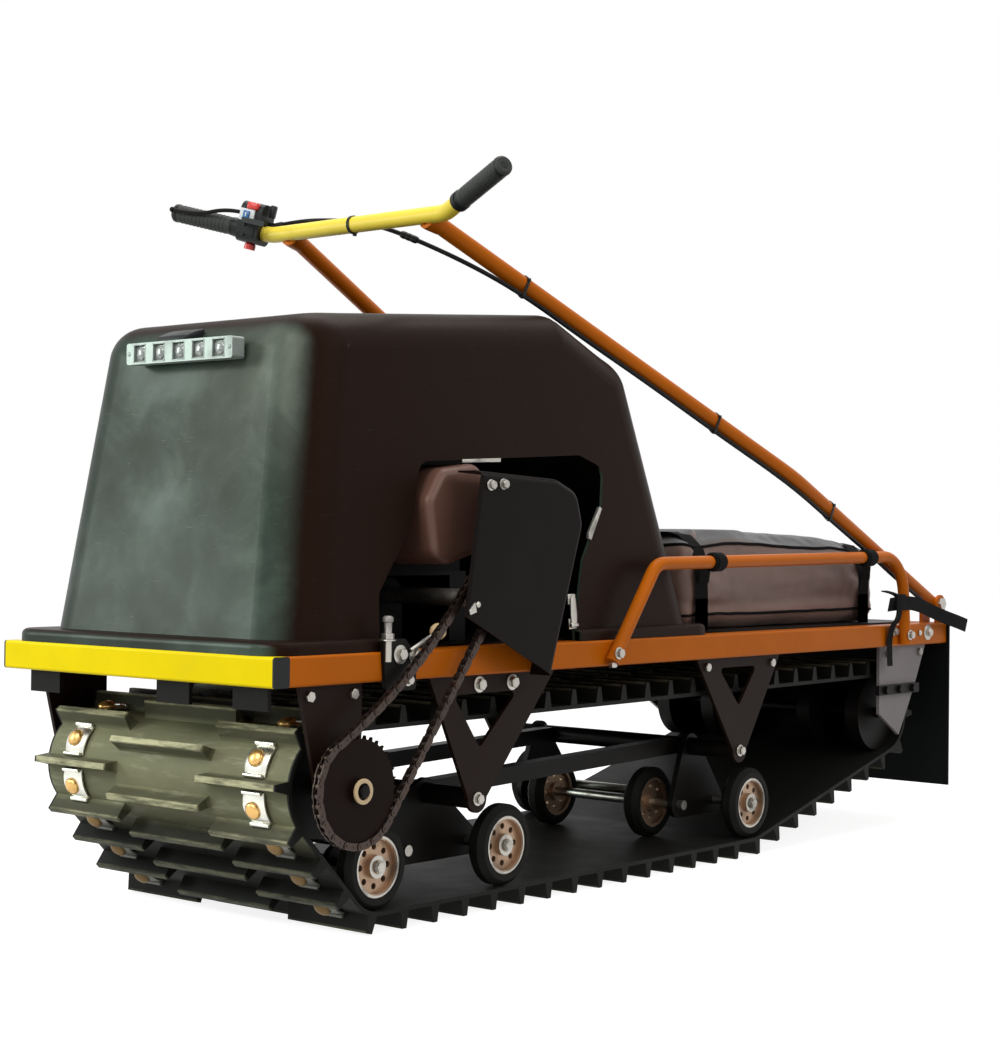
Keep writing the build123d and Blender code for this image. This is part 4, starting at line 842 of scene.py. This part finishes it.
def first_lug(belt, pitch):
    """How far along the belt the outer lugs stand, read off the lug tips on the ground."""
    start, part = [span for span in belt.spans if span[1][0] == "line"][2]
    tips = [vert.co.x - MID for vert in NODES["track"].data.vertices
            if vert.co.z < 0.0008 and abs(vert.co.y) > 0.2]
    turns = [TAU * (start + x - part[1]) / pitch for x in tips]
    return pitch * math.atan2(sum(map(math.sin, turns)), sum(map(math.cos, turns))) / TAU


class TUG_OT_track(bpy.types.Operator):
    """Fix the steel clips in two columns between the track's lugs"""
    bl_idname = "tug.track"
    bl_label = "Track clips"

    def execute(self, context):
        belt = Loop(BELT_WHEELS, BELT_OUTSIDE)
        count = round(belt.length / LUG_PITCH)
        pitch = belt.length / count
        clips, domes = Form(), Form()
        clip, dome = saddle_clip(settings().clip_width, CLIP_LENGTH), dome_bolt(0.0125, 0.0085)
        first = first_lug(belt, pitch)
        for index in range(count):
            (x, z), (nx, nz) = belt.place(first + pitch * (index + 0.5))
            out = Vector((nx, 0, nz))
            turn = turned(LEFT, out.cross(LEFT), out)
            for y in (-CLIP_Y, CLIP_Y):
                place = Matrix.Translation(at(x, y, z)) @ turn
                clips.stamp(clip, place)
                domes.stamp(dome, place @ Matrix.Translation((0, 0, 0.0078)))
        piece("track_clips", clips, "bare_steel", "chassis", finish="bright_clip")
        piece("track_clip_domes", domes, "disc_gold", "chassis", finish="clip_dome", crease=1.0)
        return {"FINISHED"}


def side_plate(step):
    """One side plate: two round ends with a waist."""
    form = Form()
    outline = []
    for middle, first in ((step, -1.2), (0.0, math.pi - 1.2)):
        outline += [(middle + LINK_END * math.cos(first + turn * 0.6), LINK_END * math.sin(first + turn * 0.6))
                    for turn in range(5)]
    form.plate(outline, LINK_THICKNESS)
    bmesh.ops.translate(form.mesh, verts=form.mesh.verts, vec=(0, -LINK_THICKNESS / 2, 0))
    return form.done()


class TUG_OT_chain(bpy.types.Operator):
    """Lay the roller chain round both sprockets, and seat the hub's ring and bolt"""
    bl_idname = "tug.chain"
    bl_label = "Drive chain"

    def execute(self, context):
        loop = Loop(CHAIN_WHEELS, 0.0, CHAIN_SAG)
        count = 2 * round(loop.length / CHAIN_STEP / 2)
        step = loop.length / count
        chain = Form()
        link = side_plate(step)
        roller = Form().prism(12, 0.0039, -0.0026, 0.0026).done()
        pin = Form().prism(8, 0.0018, -0.0062, 0.0062).done()
        for index in range(count):
            (x, z), _ = loop.place(index * step)
            (x2, z2), _ = loop.place((index + 1) * step)
            middle = at(x, CHAIN_Y, z)
            run = Vector((x2 - x, 0, z2 - z)).normalized()
            turn = turned(run, LEFT, run.cross(LEFT))
            gap = 0.0034 if index % 2 else 0.0049
            for side in (gap, -gap):
                chain.stamp(link, Matrix.Translation(middle + Vector((0, side, 0))) @ turn)
            for part in (roller, pin):
                chain.stamp(part, stand(middle, LEFT))
        piece("roller_chain", chain, "chain_steel", "chassis", ("drive_chain",))
        hub = Form().stamp(washer_ring(0.0170, 0.0112, 0.0034), stand(at(*HUB), LEFT))
        piece("hub_ring", hub, "disc_gold", "chassis", finish="knob_plastic")
        centre = Form().stamp(hex_bolt(0.016, 0.006), stand(at(*HUB), LEFT, 0.3))
        piece("hub_bolt", centre, "black_steel", "chassis")
        return {"FINISHED"}


class TUG_OT_fasteners(bpy.types.Operator):
    """Set the bolts, washers and nuts of the frame, hangers, rollers and flap"""
    bl_idname = "tug.fasteners"
    bl_label = "Fasteners"

    # Bolts by kind: hex across, head height, washer; the face they stand on; places forward and up
    BOTH_SIDES = (
        ((0.015, 0.0065, 0.024), HANGER_FACE, ((0.487, 0.331), (0.414, 0.331))),
        ((0.013, 0.006, 0.0), HANGER_FACE, ((-0.088, 0.331), (-0.285, 0.331), (0.745, 0.331), (0.826, 0.331),
                                            (-0.690, 0.331), (-0.812, 0.331))),
        ((0.013, 0.006, 0.020), HANGER_FACE, ((0.488, 0.168), (-0.190, 0.187))),
        ((0.013, 0.006, 0.019), RAIL_FACE, ((0.199, 0.366), (-0.7165, 0.367))),
        ((0.014, 0.007, 0.030), SIDE, ((-0.824, 0.368),)),
        ((0.010, 0.004, 0.0), SIDE, ((-0.790, 0.368),)),
        ((0.011, 0.005, 0.018), SIDE, ((-0.696, 0.373),)),
    )
    LEFT_ONLY = (
        ((0.014, 0.007, 0.026), PLATE_FACE, ((0.673, 0.381),)),
        ((0.014, 0.007, 0.024), PLATE_FACE, ((0.643, 0.378),)),
        ((0.011, 0.006, 0.017), PLATE_FACE, ((0.657, 0.346),)),
    )

    def execute(self, context):
        pairs, left = Form(), Form()
        for form, kinds, turn in ((pairs, self.BOTH_SIDES, 0.25), (left, self.LEFT_ONLY, 0.5)):
            for kind, face, places in kinds:
                for x, z in places:
                    form.stamp(hex_bolt(*kind), stand(at(x, face, z), LEFT, turn))
        pairs.stamp(hex_bolt(0.013, 0.007), stand(at(0.199, 0.2905, 0.3515), (0, 0, -1)))
        for x in ROLLERS:
            pairs.stamp(hex_bolt(0.014, 0.005), stand(at(x, 0.247, ROLLER_UP), LEFT, 0.4))
        pairs.both_sides()
        bolt = Form().lathe([(0, 0.372), (0.0054, 0.372), (0.0054, 0.424), (0.0075, 0.426), (0.0075, 0.431),
                             (0.0050, 0.4335), (0, 0.4335)], 20)
        left.stamp(bolt.done(), Matrix.Translation(at(0.697, PLATE_FACE, 0)))
        left.stamp(hex_bolt(0.016, 0.008, 0.022), stand(at(0.697, PLATE_FACE, 0.400)))
        for x, z in ((0.530, 0.613), (0.503, 0.615)):
            left.stamp(hex_bolt(0.011, 0.006, 0.016), stand(at(x, GUARD_FACE, z), LEFT, 0.2))
        left.stamp(dome_bolt(0.0045, 0.004), stand(at(0.555, GUARD_FACE, 0.447), LEFT))
        piece("frame_bolts", pairs, "bare_steel", "chassis")
        piece("adjuster_bolts", left, "bare_steel", "chassis")
        rear = Form()
        for y in (-0.245, -0.165, -0.085, 0.0, 0.085, 0.165, 0.245):
            rear.stamp(hex_bolt(0.010, 0.005, 0.016), stand(at(-0.908, y, 0.3725), (-1, 0, 0)))
        for y in (-0.018, 0.018):
            rear.stamp(hex_bolt(0.013, 0.006, 0.020), stand(at(-0.880, y, 0.395)))
        piece("rear_bolts", rear, "bare_steel", "chassis")
        rings = Form()
        for x in ROLLERS:
            for outer, inner, thickness in ((0.0428, 0.0385, 0.0016), (0.0160, 0.0095, 0.0012)):
                rings.stamp(washer_ring(outer, inner, thickness), stand(at(x, 0.244, ROLLER_UP), LEFT))
        rings.both_sides()
        piece("roller_rings", rings, "bare_steel", "chassis")
        knob = ball(at(0.600, 0.2893, 0.410), 0.0118, 3)
        piece("lever_knob", knob, "bare_steel", "chassis", finish="knob_plastic", crease=1.0)
        return {"FINISHED"}


class TUG_OT_latches(bpy.types.Operator):
    """Fit the hood's latches, its notch clip, the guard's spring clip and the notch's trim"""
    bl_idname = "tug.latches"
    bl_label = "Latches"

    def execute(self, context):
        latches = Form()
        lean = Matrix.Rotation(0.078, 4, "X")
        base = sheet([(-0.009, 0), (0.009, 0), (0.009, 0.016), (-0.009, 0.016)], 0.003, 0.0008)
        lever = sheet([(-0.006, 0), (0.006, 0), (0.0075, 0.020), (0.006, 0.044), (0.002, 0.049),
                       (-0.002, 0.049), (-0.006, 0.044), (-0.0075, 0.020)], 0.0035, 0.0009)
        roll = Form().prism(16, 0.0036, -0.0085, 0.0085).soften(0.0007)
        for part, z, y in ((base, 0.403, 0.2605), (base, 0.440, 0.2578), (lever, 0.405, 0.2632)):
            latches.stamp(part, Matrix.Translation(at(0.264, y, z)) @ lean)
        latches.stamp(roll.done(), stand(at(0.264, 0.2645, 0.409), FORWARD))
        latches.both_sides()
        piece("hood_latches", latches, "bare_steel", "chassis")
        clips = Form()
        notch_clip = ((0.1805, 0.587), (0.1865, 0.590), (0.2125, 0.549), (0.2135, 0.540), (0.2065, 0.538))
        spring_clip = ((0.560, 0.4365), (0.5635, 0.4510), (0.5745, 0.4395), (0.5735, 0.4330))
        notch_trim = ((0.415, 0.6505), (0.415, 0.6565), (0.500, 0.6515), (0.500, 0.6460))
        for outline, thickness, soft, y in ((notch_clip, 0.006, 0.0012, 0.2470), (spring_clip, 0.004, 0.001, 0.3215),
                                            (notch_trim, 0.004, 0.001, 0.2400)):
            clips.stamp(sheet(outline, thickness, soft), Matrix.Translation(at(0, y, 0)))
        piece("hood_clips", clips, "bare_steel", "chassis")
        return {"FINISHED"}


class TUG_OT_lamps(bpy.types.Operator):
    """Glaze the lamp bar's cells and fit its bracket"""
    bl_idname = "tug.lamps"
    bl_label = "Lamps"

    def execute(self, context):
        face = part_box("light_bar")[1].x
        lenses, bezels = Form(), Form()
        lens = Form().block((0.0232, 0.0232, 0.004), (0, 0, 0.002)).soften(0.0012).done()
        eye = Form().lathe([(0.0092, 0.0), (0.0090, 0.0016), (0.0066, 0.0030), (0.0030, 0.0036), (0, 0.0037)], 24)
        eye = eye.done(crease=1.0)
        frame_bar = brick((0.0262, 0.0016, 0.0016), 0.0004)
        edge = Matrix.Translation((0, 0, 0.0123)) @ Matrix.Rotation(TAU / 4, 4, "Z")
        for cell in range(-2, 3):
            back = Vector((face - 0.0080, cell * LAMP_PITCH, LAMP_UP))
            lenses.stamp(lens, stand(back, FORWARD))
            lenses.stamp(eye, stand(back + Vector((0.004, 0, 0)), FORWARD))
            middle = Matrix.Translation((face - 0.0004, cell * LAMP_PITCH, LAMP_UP))
            for turn in range(4):
                bezels.stamp(frame_bar, middle @ Matrix.Rotation(turn * TAU / 4, 4, "X") @ edge)
        piece("lamp_lenses", lenses, "lamp_housing", "chassis", finish="lamp_lens")
        for y in (-0.1045, 0.1045):
            bezels.stamp(dome_bolt(0.0032, 0.002), stand((face - 0.0005, y, LAMP_UP), FORWARD))
        piece("lamp_bezels", bezels, "lamp_housing", "chassis")
        bracket = sheet([(0.781, 0.800), (0.822, 0.8095), (0.820, 0.816), (0.800, 0.824), (0.784, 0.828)],
                        0.062, 0.003)
        mount = Form().stamp(bracket, Matrix.Translation(at(-0.004, -0.054, 0)))
        piece("lamp_bracket", mount, "dark_plastic", "chassis")
        return {"FINISHED"}


def fit_switches():
    """What sits on the throttle housing, in the housing's own directions."""
    corner, end = on_side(BAR_BEND, -1), on_side(BAR_END, -1)
    out = (end - corner).normalized()
    front = -out.cross(UP).normalized()
    up = front.cross(out).normalized()
    if up.z < 0:
        up = -up
    turn = turned(out, up, front)
    middle = corner + out * 0.033

    def spot(outward, raised, ahead, base=middle):
        """A place in the housing's directions, from its middle or another base."""
        return base + out * outward + up * raised + front * ahead

    def facing(*place):
        return Matrix.Translation(spot(*place)) @ turn

    for name, size, soft, place, slot, finish in (
            ("run_button", (0.020, 0.0115, 0.012), 0.003, (-0.002, 0.0370, 0.0215), "red_plastic", None),
            ("switch_plate", (0.026, 0.019, 0.004), 0.0015, (0.005, 0.0215, 0.0240), "dark_plastic", "white_plastic"),
            ("switch_rocker", (0.011, 0.013, 0.005), 0.0014, (0.005, 0.0215, 0.0265), "dark_plastic",
             "blue_plastic")):
        piece(name, Form().stamp(brick(size, soft, 3), facing(*place)), slot, "handle", finish=finish)
    mark = Form().stamp(brick((0.0022, 0.006, 0.001), 0.0003), facing(0.005, 0.0215, 0.0292))
    piece("switch_mark", mark, "dark_plastic", "handle", finish="white_plastic")
    trim = Form().stamp(brick((0.0016, 0.0460, 0.0475), 0.0006, 1), facing(-0.012, 0.012, 0))
    for lift in (-0.010, 0.006):
        trim.stamp(dome_bolt(0.0030, 0.0018), facing(0.006, lift, 0.0230))
    trim.stamp(brick((0.008, 0.020, 0.012), 0.002), facing(0.007, 0.036, 0, corner))
    piece("housing_trim", trim, "dark_plastic", "handle")
    tip = spot(0, 0.0030, 0.0170, end)
    lever = rod([spot(0.014, 0.024, 0.018), spot(0.045, 0.024, 0.021), spot(-0.045, 0.0030, 0.0170, end), tip],
                0.0032)
    form = Form().stamp(lever, Matrix()).stamp(ball(tip, 0.0046, 2).done(crease=1.0), Matrix())
    piece("hand_lever", form, "black_steel", "handle", crease=1.0)


class TUG_OT_controls(bpy.types.Operator):
    """Fit the grips' flanges and ribs, the hand lever, the switch and the tubes' collars"""
    bl_idname = "tug.controls"
    bl_label = "Handlebar controls"

    def execute(self, context):
        flanges, ribs, collars = Form(), Form(), Form()
        flange = Form().lathe([(0.0138, -0.003), (0.0145, -0.0022), (0.0148, 0.0), (0.0145, 0.0022),
                               (0.0138, 0.003), (0.0138, -0.003)], 32).done()
        rib = Form().lathe([(0.0139, -0.0011), (0.0145, -0.0005), (0.0145, 0.0005), (0.0139, 0.0011),
                            (0.0139, -0.0011)], 32).done()
        hole = Form().lathe([(0.0, 0.0003), (0.0052, 0.0003), (0.0058, 0.0), (0.0058, -0.001), (0, -0.001)])
        hole = hole.done()
        collar = Form().lathe([(0.0132, 0.004), (0.0178, 0.006), (0.0172, 0.014), (0.0142, 0.030),
                               (0.0132, 0.034), (0.0132, 0.004)], 32).done()
        for side, length, cover in GRIPS:
            corner, end = on_side(BAR_BEND, side), on_side(BAR_END, side)
            inward = (corner - end).normalized()
            for along in (0.003, length - 0.0075):
                flanges.stamp(flange, stand(end + inward * along, inward))
            flanges.stamp(hole, stand(end - inward * 0.004, -inward))
            sleeve = Form().lathe(ring(0.0128, 0.0153, 0, cover), 32)
            flanges.stamp(sleeve.done(), stand(end + inward * (length - 0.004), inward))
            for index in range(RIBS):
                ribs.stamp(rib, stand(end + inward * (0.014 + index * (length - 0.034) / (RIBS - 1)), inward))
            collars.stamp(collar, stand(on_side(TUBE_FRONT, side), on_side(TUBE_KNEE - TUBE_FRONT, side)))
        piece("grip_flanges", flanges, "dark_plastic", "handle")
        piece("grip_ribs", ribs, "grip_rubber", "handle")
        piece("tube_collars", collars, "frame_paint", "handle")
        fit_switches()
        return {"FINISHED"}


def swell_bag(context, made):
    """Push the bag out by its filling for twenty frames, each point by no more than the cap."""
    before = [vert.co.copy() for vert in made.data.vertices]
    cloth = made.modifiers.new("filling", "CLOTH")
    cloth.settings.use_pressure = True
    cloth.settings.uniform_pressure_force = settings().bag_pressure
    cloth.settings.effector_weights.gravity = 0.0
    cloth.settings.quality = 5
    for number in range(1, BAG_FRAMES + 1):
        context.scene.frame_set(number)
    swollen = settled(made)
    made.modifiers.clear()
    for old, vert, new in zip(before, made.data.vertices, swollen.vertices):
        move = new.co - old
        if move.length > BAG_SWELL:
            move *= BAG_SWELL / move.length
        vert.co = old + move
    context.scene.frame_set(1)


def shape_bag(mesh, low, high):
    """Draw the bag in under its straps, fold its side, crease it and level it on the floor."""
    floor = low.z
    centre = (low + high) / 2
    reach = [max(abs(vert.co[axis] - centre[axis]) for vert in mesh.vertices) for axis in range(2)]
    for vert in mesh.vertices:
        co = vert.co
        for axis in range(2):
            co[axis] = centre[axis] + (co[axis] - centre[axis]) * (high[axis] - centre[axis]) / reach[axis]
        side = 1 if co.y > 0 else -1
        rise = (co.z - floor) / (high.z - floor)
        away = abs(co.y) / high.y
        wrinkle = noise.fractal(Vector((co.x * 4.5, co.y * 9, co.z * 26)), 0.9, 2.1, 4) * 0.0034
        wrinkle += noise.noise(Vector((co.x * 11, co.y * 8, co.z * 60))) * 0.0016
        pinch = sum(math.exp(-((co.x - strap) / 0.026) ** 2) for strap in STRAPS)
        fold_at = 0.4360 + 0.010 * math.sin((co.x - low.x) * 9.0) - 0.02 * (high.x - co.x - 0.2)
        fold = math.exp(-((co.z - fold_at) / 0.007) ** 2) * (0.4 + 0.6 * noise.noise(Vector((co.x * 5, side, 0))))
        if away > 0.55:
            co.y += side * (wrinkle - 0.0055 * pinch - 0.0075 * fold)
        if rise > 0.5:
            crown = 0.002 + 0.008 * math.exp(-((co.x - low.x - 0.50) / 0.09) ** 2)
            crown -= 0.016 * ((high.x - co.x) / (high.x - low.x)) ** 2
            co.z += (rise - 0.5) * 2 * (crown + wrinkle * 1.3 - 0.007 * pinch)
        co.z = min(max(co.z, floor + 0.0005), high.z + 0.009)
        co.y = max(min(co.y, high.y + 0.004), -high.y - 0.004)
        co.x = max(min(co.x, high.x + 0.003), low.x - 0.004)
    mesh.update()


def surface(made):
    """Search tree of an object's finished surface."""
    form = bmesh.new()
    mesh = settled(made)
    form.from_mesh(mesh)
    tree = BVHTree.FromBMesh(form)
    form.free()
    bpy.data.meshes.remove(mesh)
    return tree


def sew_piping(made, low, high):
    """Round piping along the lid's edge and the bottom seam, laid on the bag's surface."""
    tree = surface(made)
    form = Form()
    for height, inset, radius in ((high.z - 0.010, 0.006, 0.0028), (low.z + 0.022, -0.004, 0.0024)):
        corners = []
        rear, front = low.x + BAG_CORNER, high.x - BAG_CORNER
        for turn, x in enumerate((front, rear, rear, front)):
            y = (high.y - BAG_CORNER) * (1 if turn < 2 else -1)
            for step in range(4):
                angle = TAU / 4 * (turn + step / 3)
                corners.append(Vector((x + (BAG_CORNER - inset) * math.cos(angle),
                                       y + (BAG_CORNER - inset) * math.sin(angle), height)))
        seam = []
        for first, last in zip(corners, corners[1:] + corners[:1]):
            parts = max(1, round((last - first).length / 0.018))
            seam += [first.lerp(last, part / parts) for part in range(parts)]
        laid = []
        for point in seam + seam[:1]:
            near, normal, _, _ = tree.find_nearest(point)
            laid.append(near + normal * radius * 0.35)
        form.stamp(rod(laid, radius), Matrix())
    piece("bag_piping", form, "webbing", "chassis", crease=1.0)


class TUG_OT_bag(bpy.types.Operator):
    """Fill the cargo bag, sag and crease it, and sew its piping"""
    bl_idname = "tug.bag"
    bl_label = "Cargo bag"

    def execute(self, context):
        low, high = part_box("cargo_bag")
        size, middle = high - low, (high + low) / 2
        form = Form().block((size.x - 0.014, size.y - 0.020, size.z - 0.012), middle - Vector((0, 0, 0.004)))
        form.soften(0.026, 3, 0.5)
        made = placed("cargo_bag_shell", form.done("cargo_bag_shell"))
        remesh = made.modifiers.new("even", "REMESH")
        remesh.mode = "VOXEL"
        remesh.voxel_size = BAG_VOXEL
        made.data = settled(made)
        made.modifiers.clear()
        swell_bag(context, made)
        shape_bag(made.data, low, high)
        made.data.shade_smooth()
        smooth = made.modifiers.new("smooth", "SUBSURF")
        smooth.levels = smooth.render_levels = 1
        dress(made, "bag_vinyl", "chassis", ("cargo_bag",))
        sew_piping(made, low, high)
        return {"FINISHED"}


def strap_over(tree, x, floor):
    """Line of a tight strap from the floor over the bag to the floor."""
    middle = Vector((x, 0, floor + 0.055))
    points = []
    for step in range(41):
        angle = math.pi * step / 40
        way = Vector((0, math.cos(angle), math.sin(angle)))
        hit = tree.ray_cast(middle + way * 0.5, -way)[0]
        points.append(hit + way * 0.0036)
    tight = []
    for point in points:
        while len(tight) > 1:
            a, b = tight[-2], tight[-1]
            if (b.y - a.y) * (point.z - b.z) - (b.z - a.z) * (point.y - b.y) > 0:
                break
            tight.pop()
        tight.append(point)
    start, end = tight[0], tight[-1]
    tight = [Vector((x, start.y, floor + 0.001)), start.lerp(Vector((x, start.y, floor)), 0.5), *tight,
             end.lerp(Vector((x, end.y, floor)), 0.5), Vector((x, end.y, floor + 0.001))]
    return [point for first, last in zip(tight, tight[1:]) for point in
            (first, first.lerp(last, 0.5))] + [tight[-1]]


def strap_to_rail(x, side, rail_x, rail_z):
    """Short run of webbing from the bag's side up to its wrap on the rail."""
    return followed([Vector((along, side * y, z)) for along, y, z in
                     ((x, 0.2125, 0.470), (x, 0.2165, 0.500), ((x + rail_x) / 2, 0.248, rail_z + 0.004),
                      (rail_x, 0.279, rail_z + 0.006), (rail_x, 0.2800, rail_z - 0.004))])


def rail_wrap(long):
    """Layered band of webbing round a rail."""
    half = long / 2
    form = Form().lathe(ring(0.0106, 0.0142, -half, half))
    form.soften(0.0008)
    form.lathe([(0.0141, -half * 0.75), (0.0158, -half * 0.7), (0.0158, half * 0.6), (0.0141, half * 0.65)])
    return form.done()


class TUG_OT_webbing(bpy.types.Operator):
    """Lash the bag: two straps over it, their wraps on the rails and the loose tail behind"""
    bl_idname = "tug.webbing"
    bl_label = "Webbing"

    def execute(self, context):
        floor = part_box("cargo_bag")[0].z
        tree = surface(bpy.data.objects["cargo_bag_shell"])
        width = settings().strap_width
        straps = Form()
        for x, (rail_x, rail_z, _) in zip(STRAPS, WRAPS):
            path = strap_over(tree, x, floor)
            straps.ribbon(path, [FORWARD] * len(path), width, WEB)
            for side in (1, -1):
                path = strap_to_rail(x, side, rail_x, rail_z)
                straps.ribbon(path, [FORWARD] * len(path), width * 0.8, WEB)
        for x, z, long in WRAPS:
            for side in (1, -1):
                straps.stamp(rail_wrap(long), stand((x, side * 0.2908, z), (1, 0, -0.0145)))
        piece("lashing_straps", straps, "webbing", "chassis", ("bag_straps",))
        tail = Form()
        for side in (1, -1):
            down = followed([at(-0.668, side * y, z) for y, z in
                             ((0.272, 0.450), (0.300, 0.446), (0.3045, 0.430), (0.3040, 0.400), (0.2900, 0.386),
                              (0.2845, 0.360), (0.2850, 0.330), (0.2860, 0.312))])
            tail.ribbon(down, [FORWARD] * len(down), DROP_WEB, WEB)
        run = followed([at(*point) for point in (
            (-0.630, 0.3035, 0.426), (-0.690, 0.3055, 0.430), (-0.745, 0.3050, 0.424), (-0.800, 0.3030, 0.410),
            (-0.850, 0.3045, 0.398), (-0.900, 0.3060, 0.388), (-0.938, 0.3040, 0.380))])
        across = [Vector((0.08, 0.25, 1)).normalized()] * len(run)
        tail.ribbon(run, across, TAIL_WEB, 0.0024)
        buckle = brick((0.036, 0.007, 0.030), 0.002, 3)
        tail.stamp(buckle, Matrix.Translation(at(-0.668, 0.3065, 0.429)))
        piece("lashing_tail", tail, "webbing", "chassis")
        return {"FINISHED"}


def lay_floor():
    form = Form()
    bmesh.ops.create_grid(form.mesh, x_segments=4, y_segments=4, size=40.0)
    floor = placed("floor", form.done("floor"))
    shop = Shop("floor_white")
    shop.finish(Base_Color=tuple(settings().floor_colour), Roughness=0.9, Specular_IOR_Level=0.0,
                Emission_Color=(1.0, 1.0, 1.0), Emission_Strength=shop.seen() * 0.86)
    floor.data.materials.append(shop.material)


def area_light(name, place, target, size, power, colour=(1.0, 0.98, 0.95)):
    data = bpy.data.lights.new(name, "AREA")
    data.shape = "RECTANGLE"
    data.size, data.size_y = size
    data.energy = power
    data.color = colour
    lamp = placed(name, data)
    lamp.location = place
    lamp.rotation_euler = (Vector(target) - Vector(place)).to_track_quat("-Z", "Y").to_euler()


def light_world(context):
    world = bpy.data.worlds.new("studio")
    context.scene.world = world
    world.use_nodes = True
    back = world.node_tree.nodes["Background"]
    back.inputs["Color"].default_value = (1.0, 1.0, 1.0, 1.0)
    tree = Tree(world.node_tree)
    tree.feed(back.inputs["Strength"], tree.seen() * 0.60 + 0.40)


def set_camera(context):
    look = settings()
    yaw, pitch, roll = look.camera_turn, look.camera_tilt, look.camera_roll
    view = Vector((-math.sin(yaw) * math.cos(pitch), -math.cos(yaw) * math.cos(pitch), math.sin(pitch)))
    level = view.cross(UP).normalized()
    upright = level.cross(view)
    right = level * math.cos(roll) + upright * math.sin(roll)
    up = upright * math.cos(roll) - level * math.sin(roll)
    data = bpy.data.cameras.new("camera")
    data.lens = look.camera_lens
    data.sensor_width = SENSOR
    data.clip_start, data.clip_end = 0.05, 100.0
    camera = placed("camera", data)
    camera.matrix_world = Matrix.Translation(look.camera_place) @ turned(right, up, -view)
    context.scene.camera = camera


class TUG_OT_stage(bpy.types.Operator):
    """Set up the floor, the lights and the camera"""
    bl_idname = "tug.stage"
    bl_label = "Stage"

    def execute(self, context):
        lay_floor()
        look = settings()
        area_light("sheen", (2.55, -2.0, 1.25), (0.8, 0.0, 0.62), (0.9, 1.1), look.sheen_power, (0.84, 1.0, 0.90))
        area_light("key", (3.2, 0.4, 2.6), (0.4, 0.0, 0.4), (2.2, 1.8), look.key_power)
        area_light("side", (0.2, 3.4, 2.6), (0.0, 0.2, 0.35), (3.0, 1.2), look.side_power)
        area_light("top", (-0.4, -0.2, 3.4), (0.0, 0.0, 0.4), (2.6, 2.0), look.top_power)
        light_world(context)
        set_camera(context)
        context.scene.view_settings.view_transform = "Standard"
        return {"FINISHED"}


class TUG_PT_panel(bpy.types.Panel):
    """Lists the builders of the tug's dressing"""
    bl_idname = "TUG_PT_panel"
    bl_label = "Snow tug"
    bl_space_type = "VIEW_3D"
    bl_region_type = "UI"
    bl_category = "Snow tug"

    def draw(self, context):
        for name in TugSettings.__annotations__:
            self.layout.prop(context.scene.snow_tug, name)
        for builder in BUILDERS:
            self.layout.operator(builder.bl_idname)


BUILDERS = (TUG_OT_cable, TUG_OT_finishes, TUG_OT_track, TUG_OT_chain, TUG_OT_fasteners, TUG_OT_latches,
            TUG_OT_lamps, TUG_OT_controls, TUG_OT_bag, TUG_OT_webbing, TUG_OT_stage)
CLASSES = (TugSettings, *BUILDERS, TUG_PT_panel)


def register():
    for made in CLASSES:
        bpy.utils.register_class(made)
    bpy.types.Scene.snow_tug = bpy.props.PointerProperty(type=TugSettings)


def unregister():
    del bpy.types.Scene.snow_tug
    for made in reversed(CLASSES):
        bpy.utils.unregister_class(made)


def main():
    register()
    for builder in BUILDERS:
        group, name = builder.bl_idname.split(".")
        getattr(getattr(bpy.ops, group), name)()


if __name__ == "__main__":
    main()
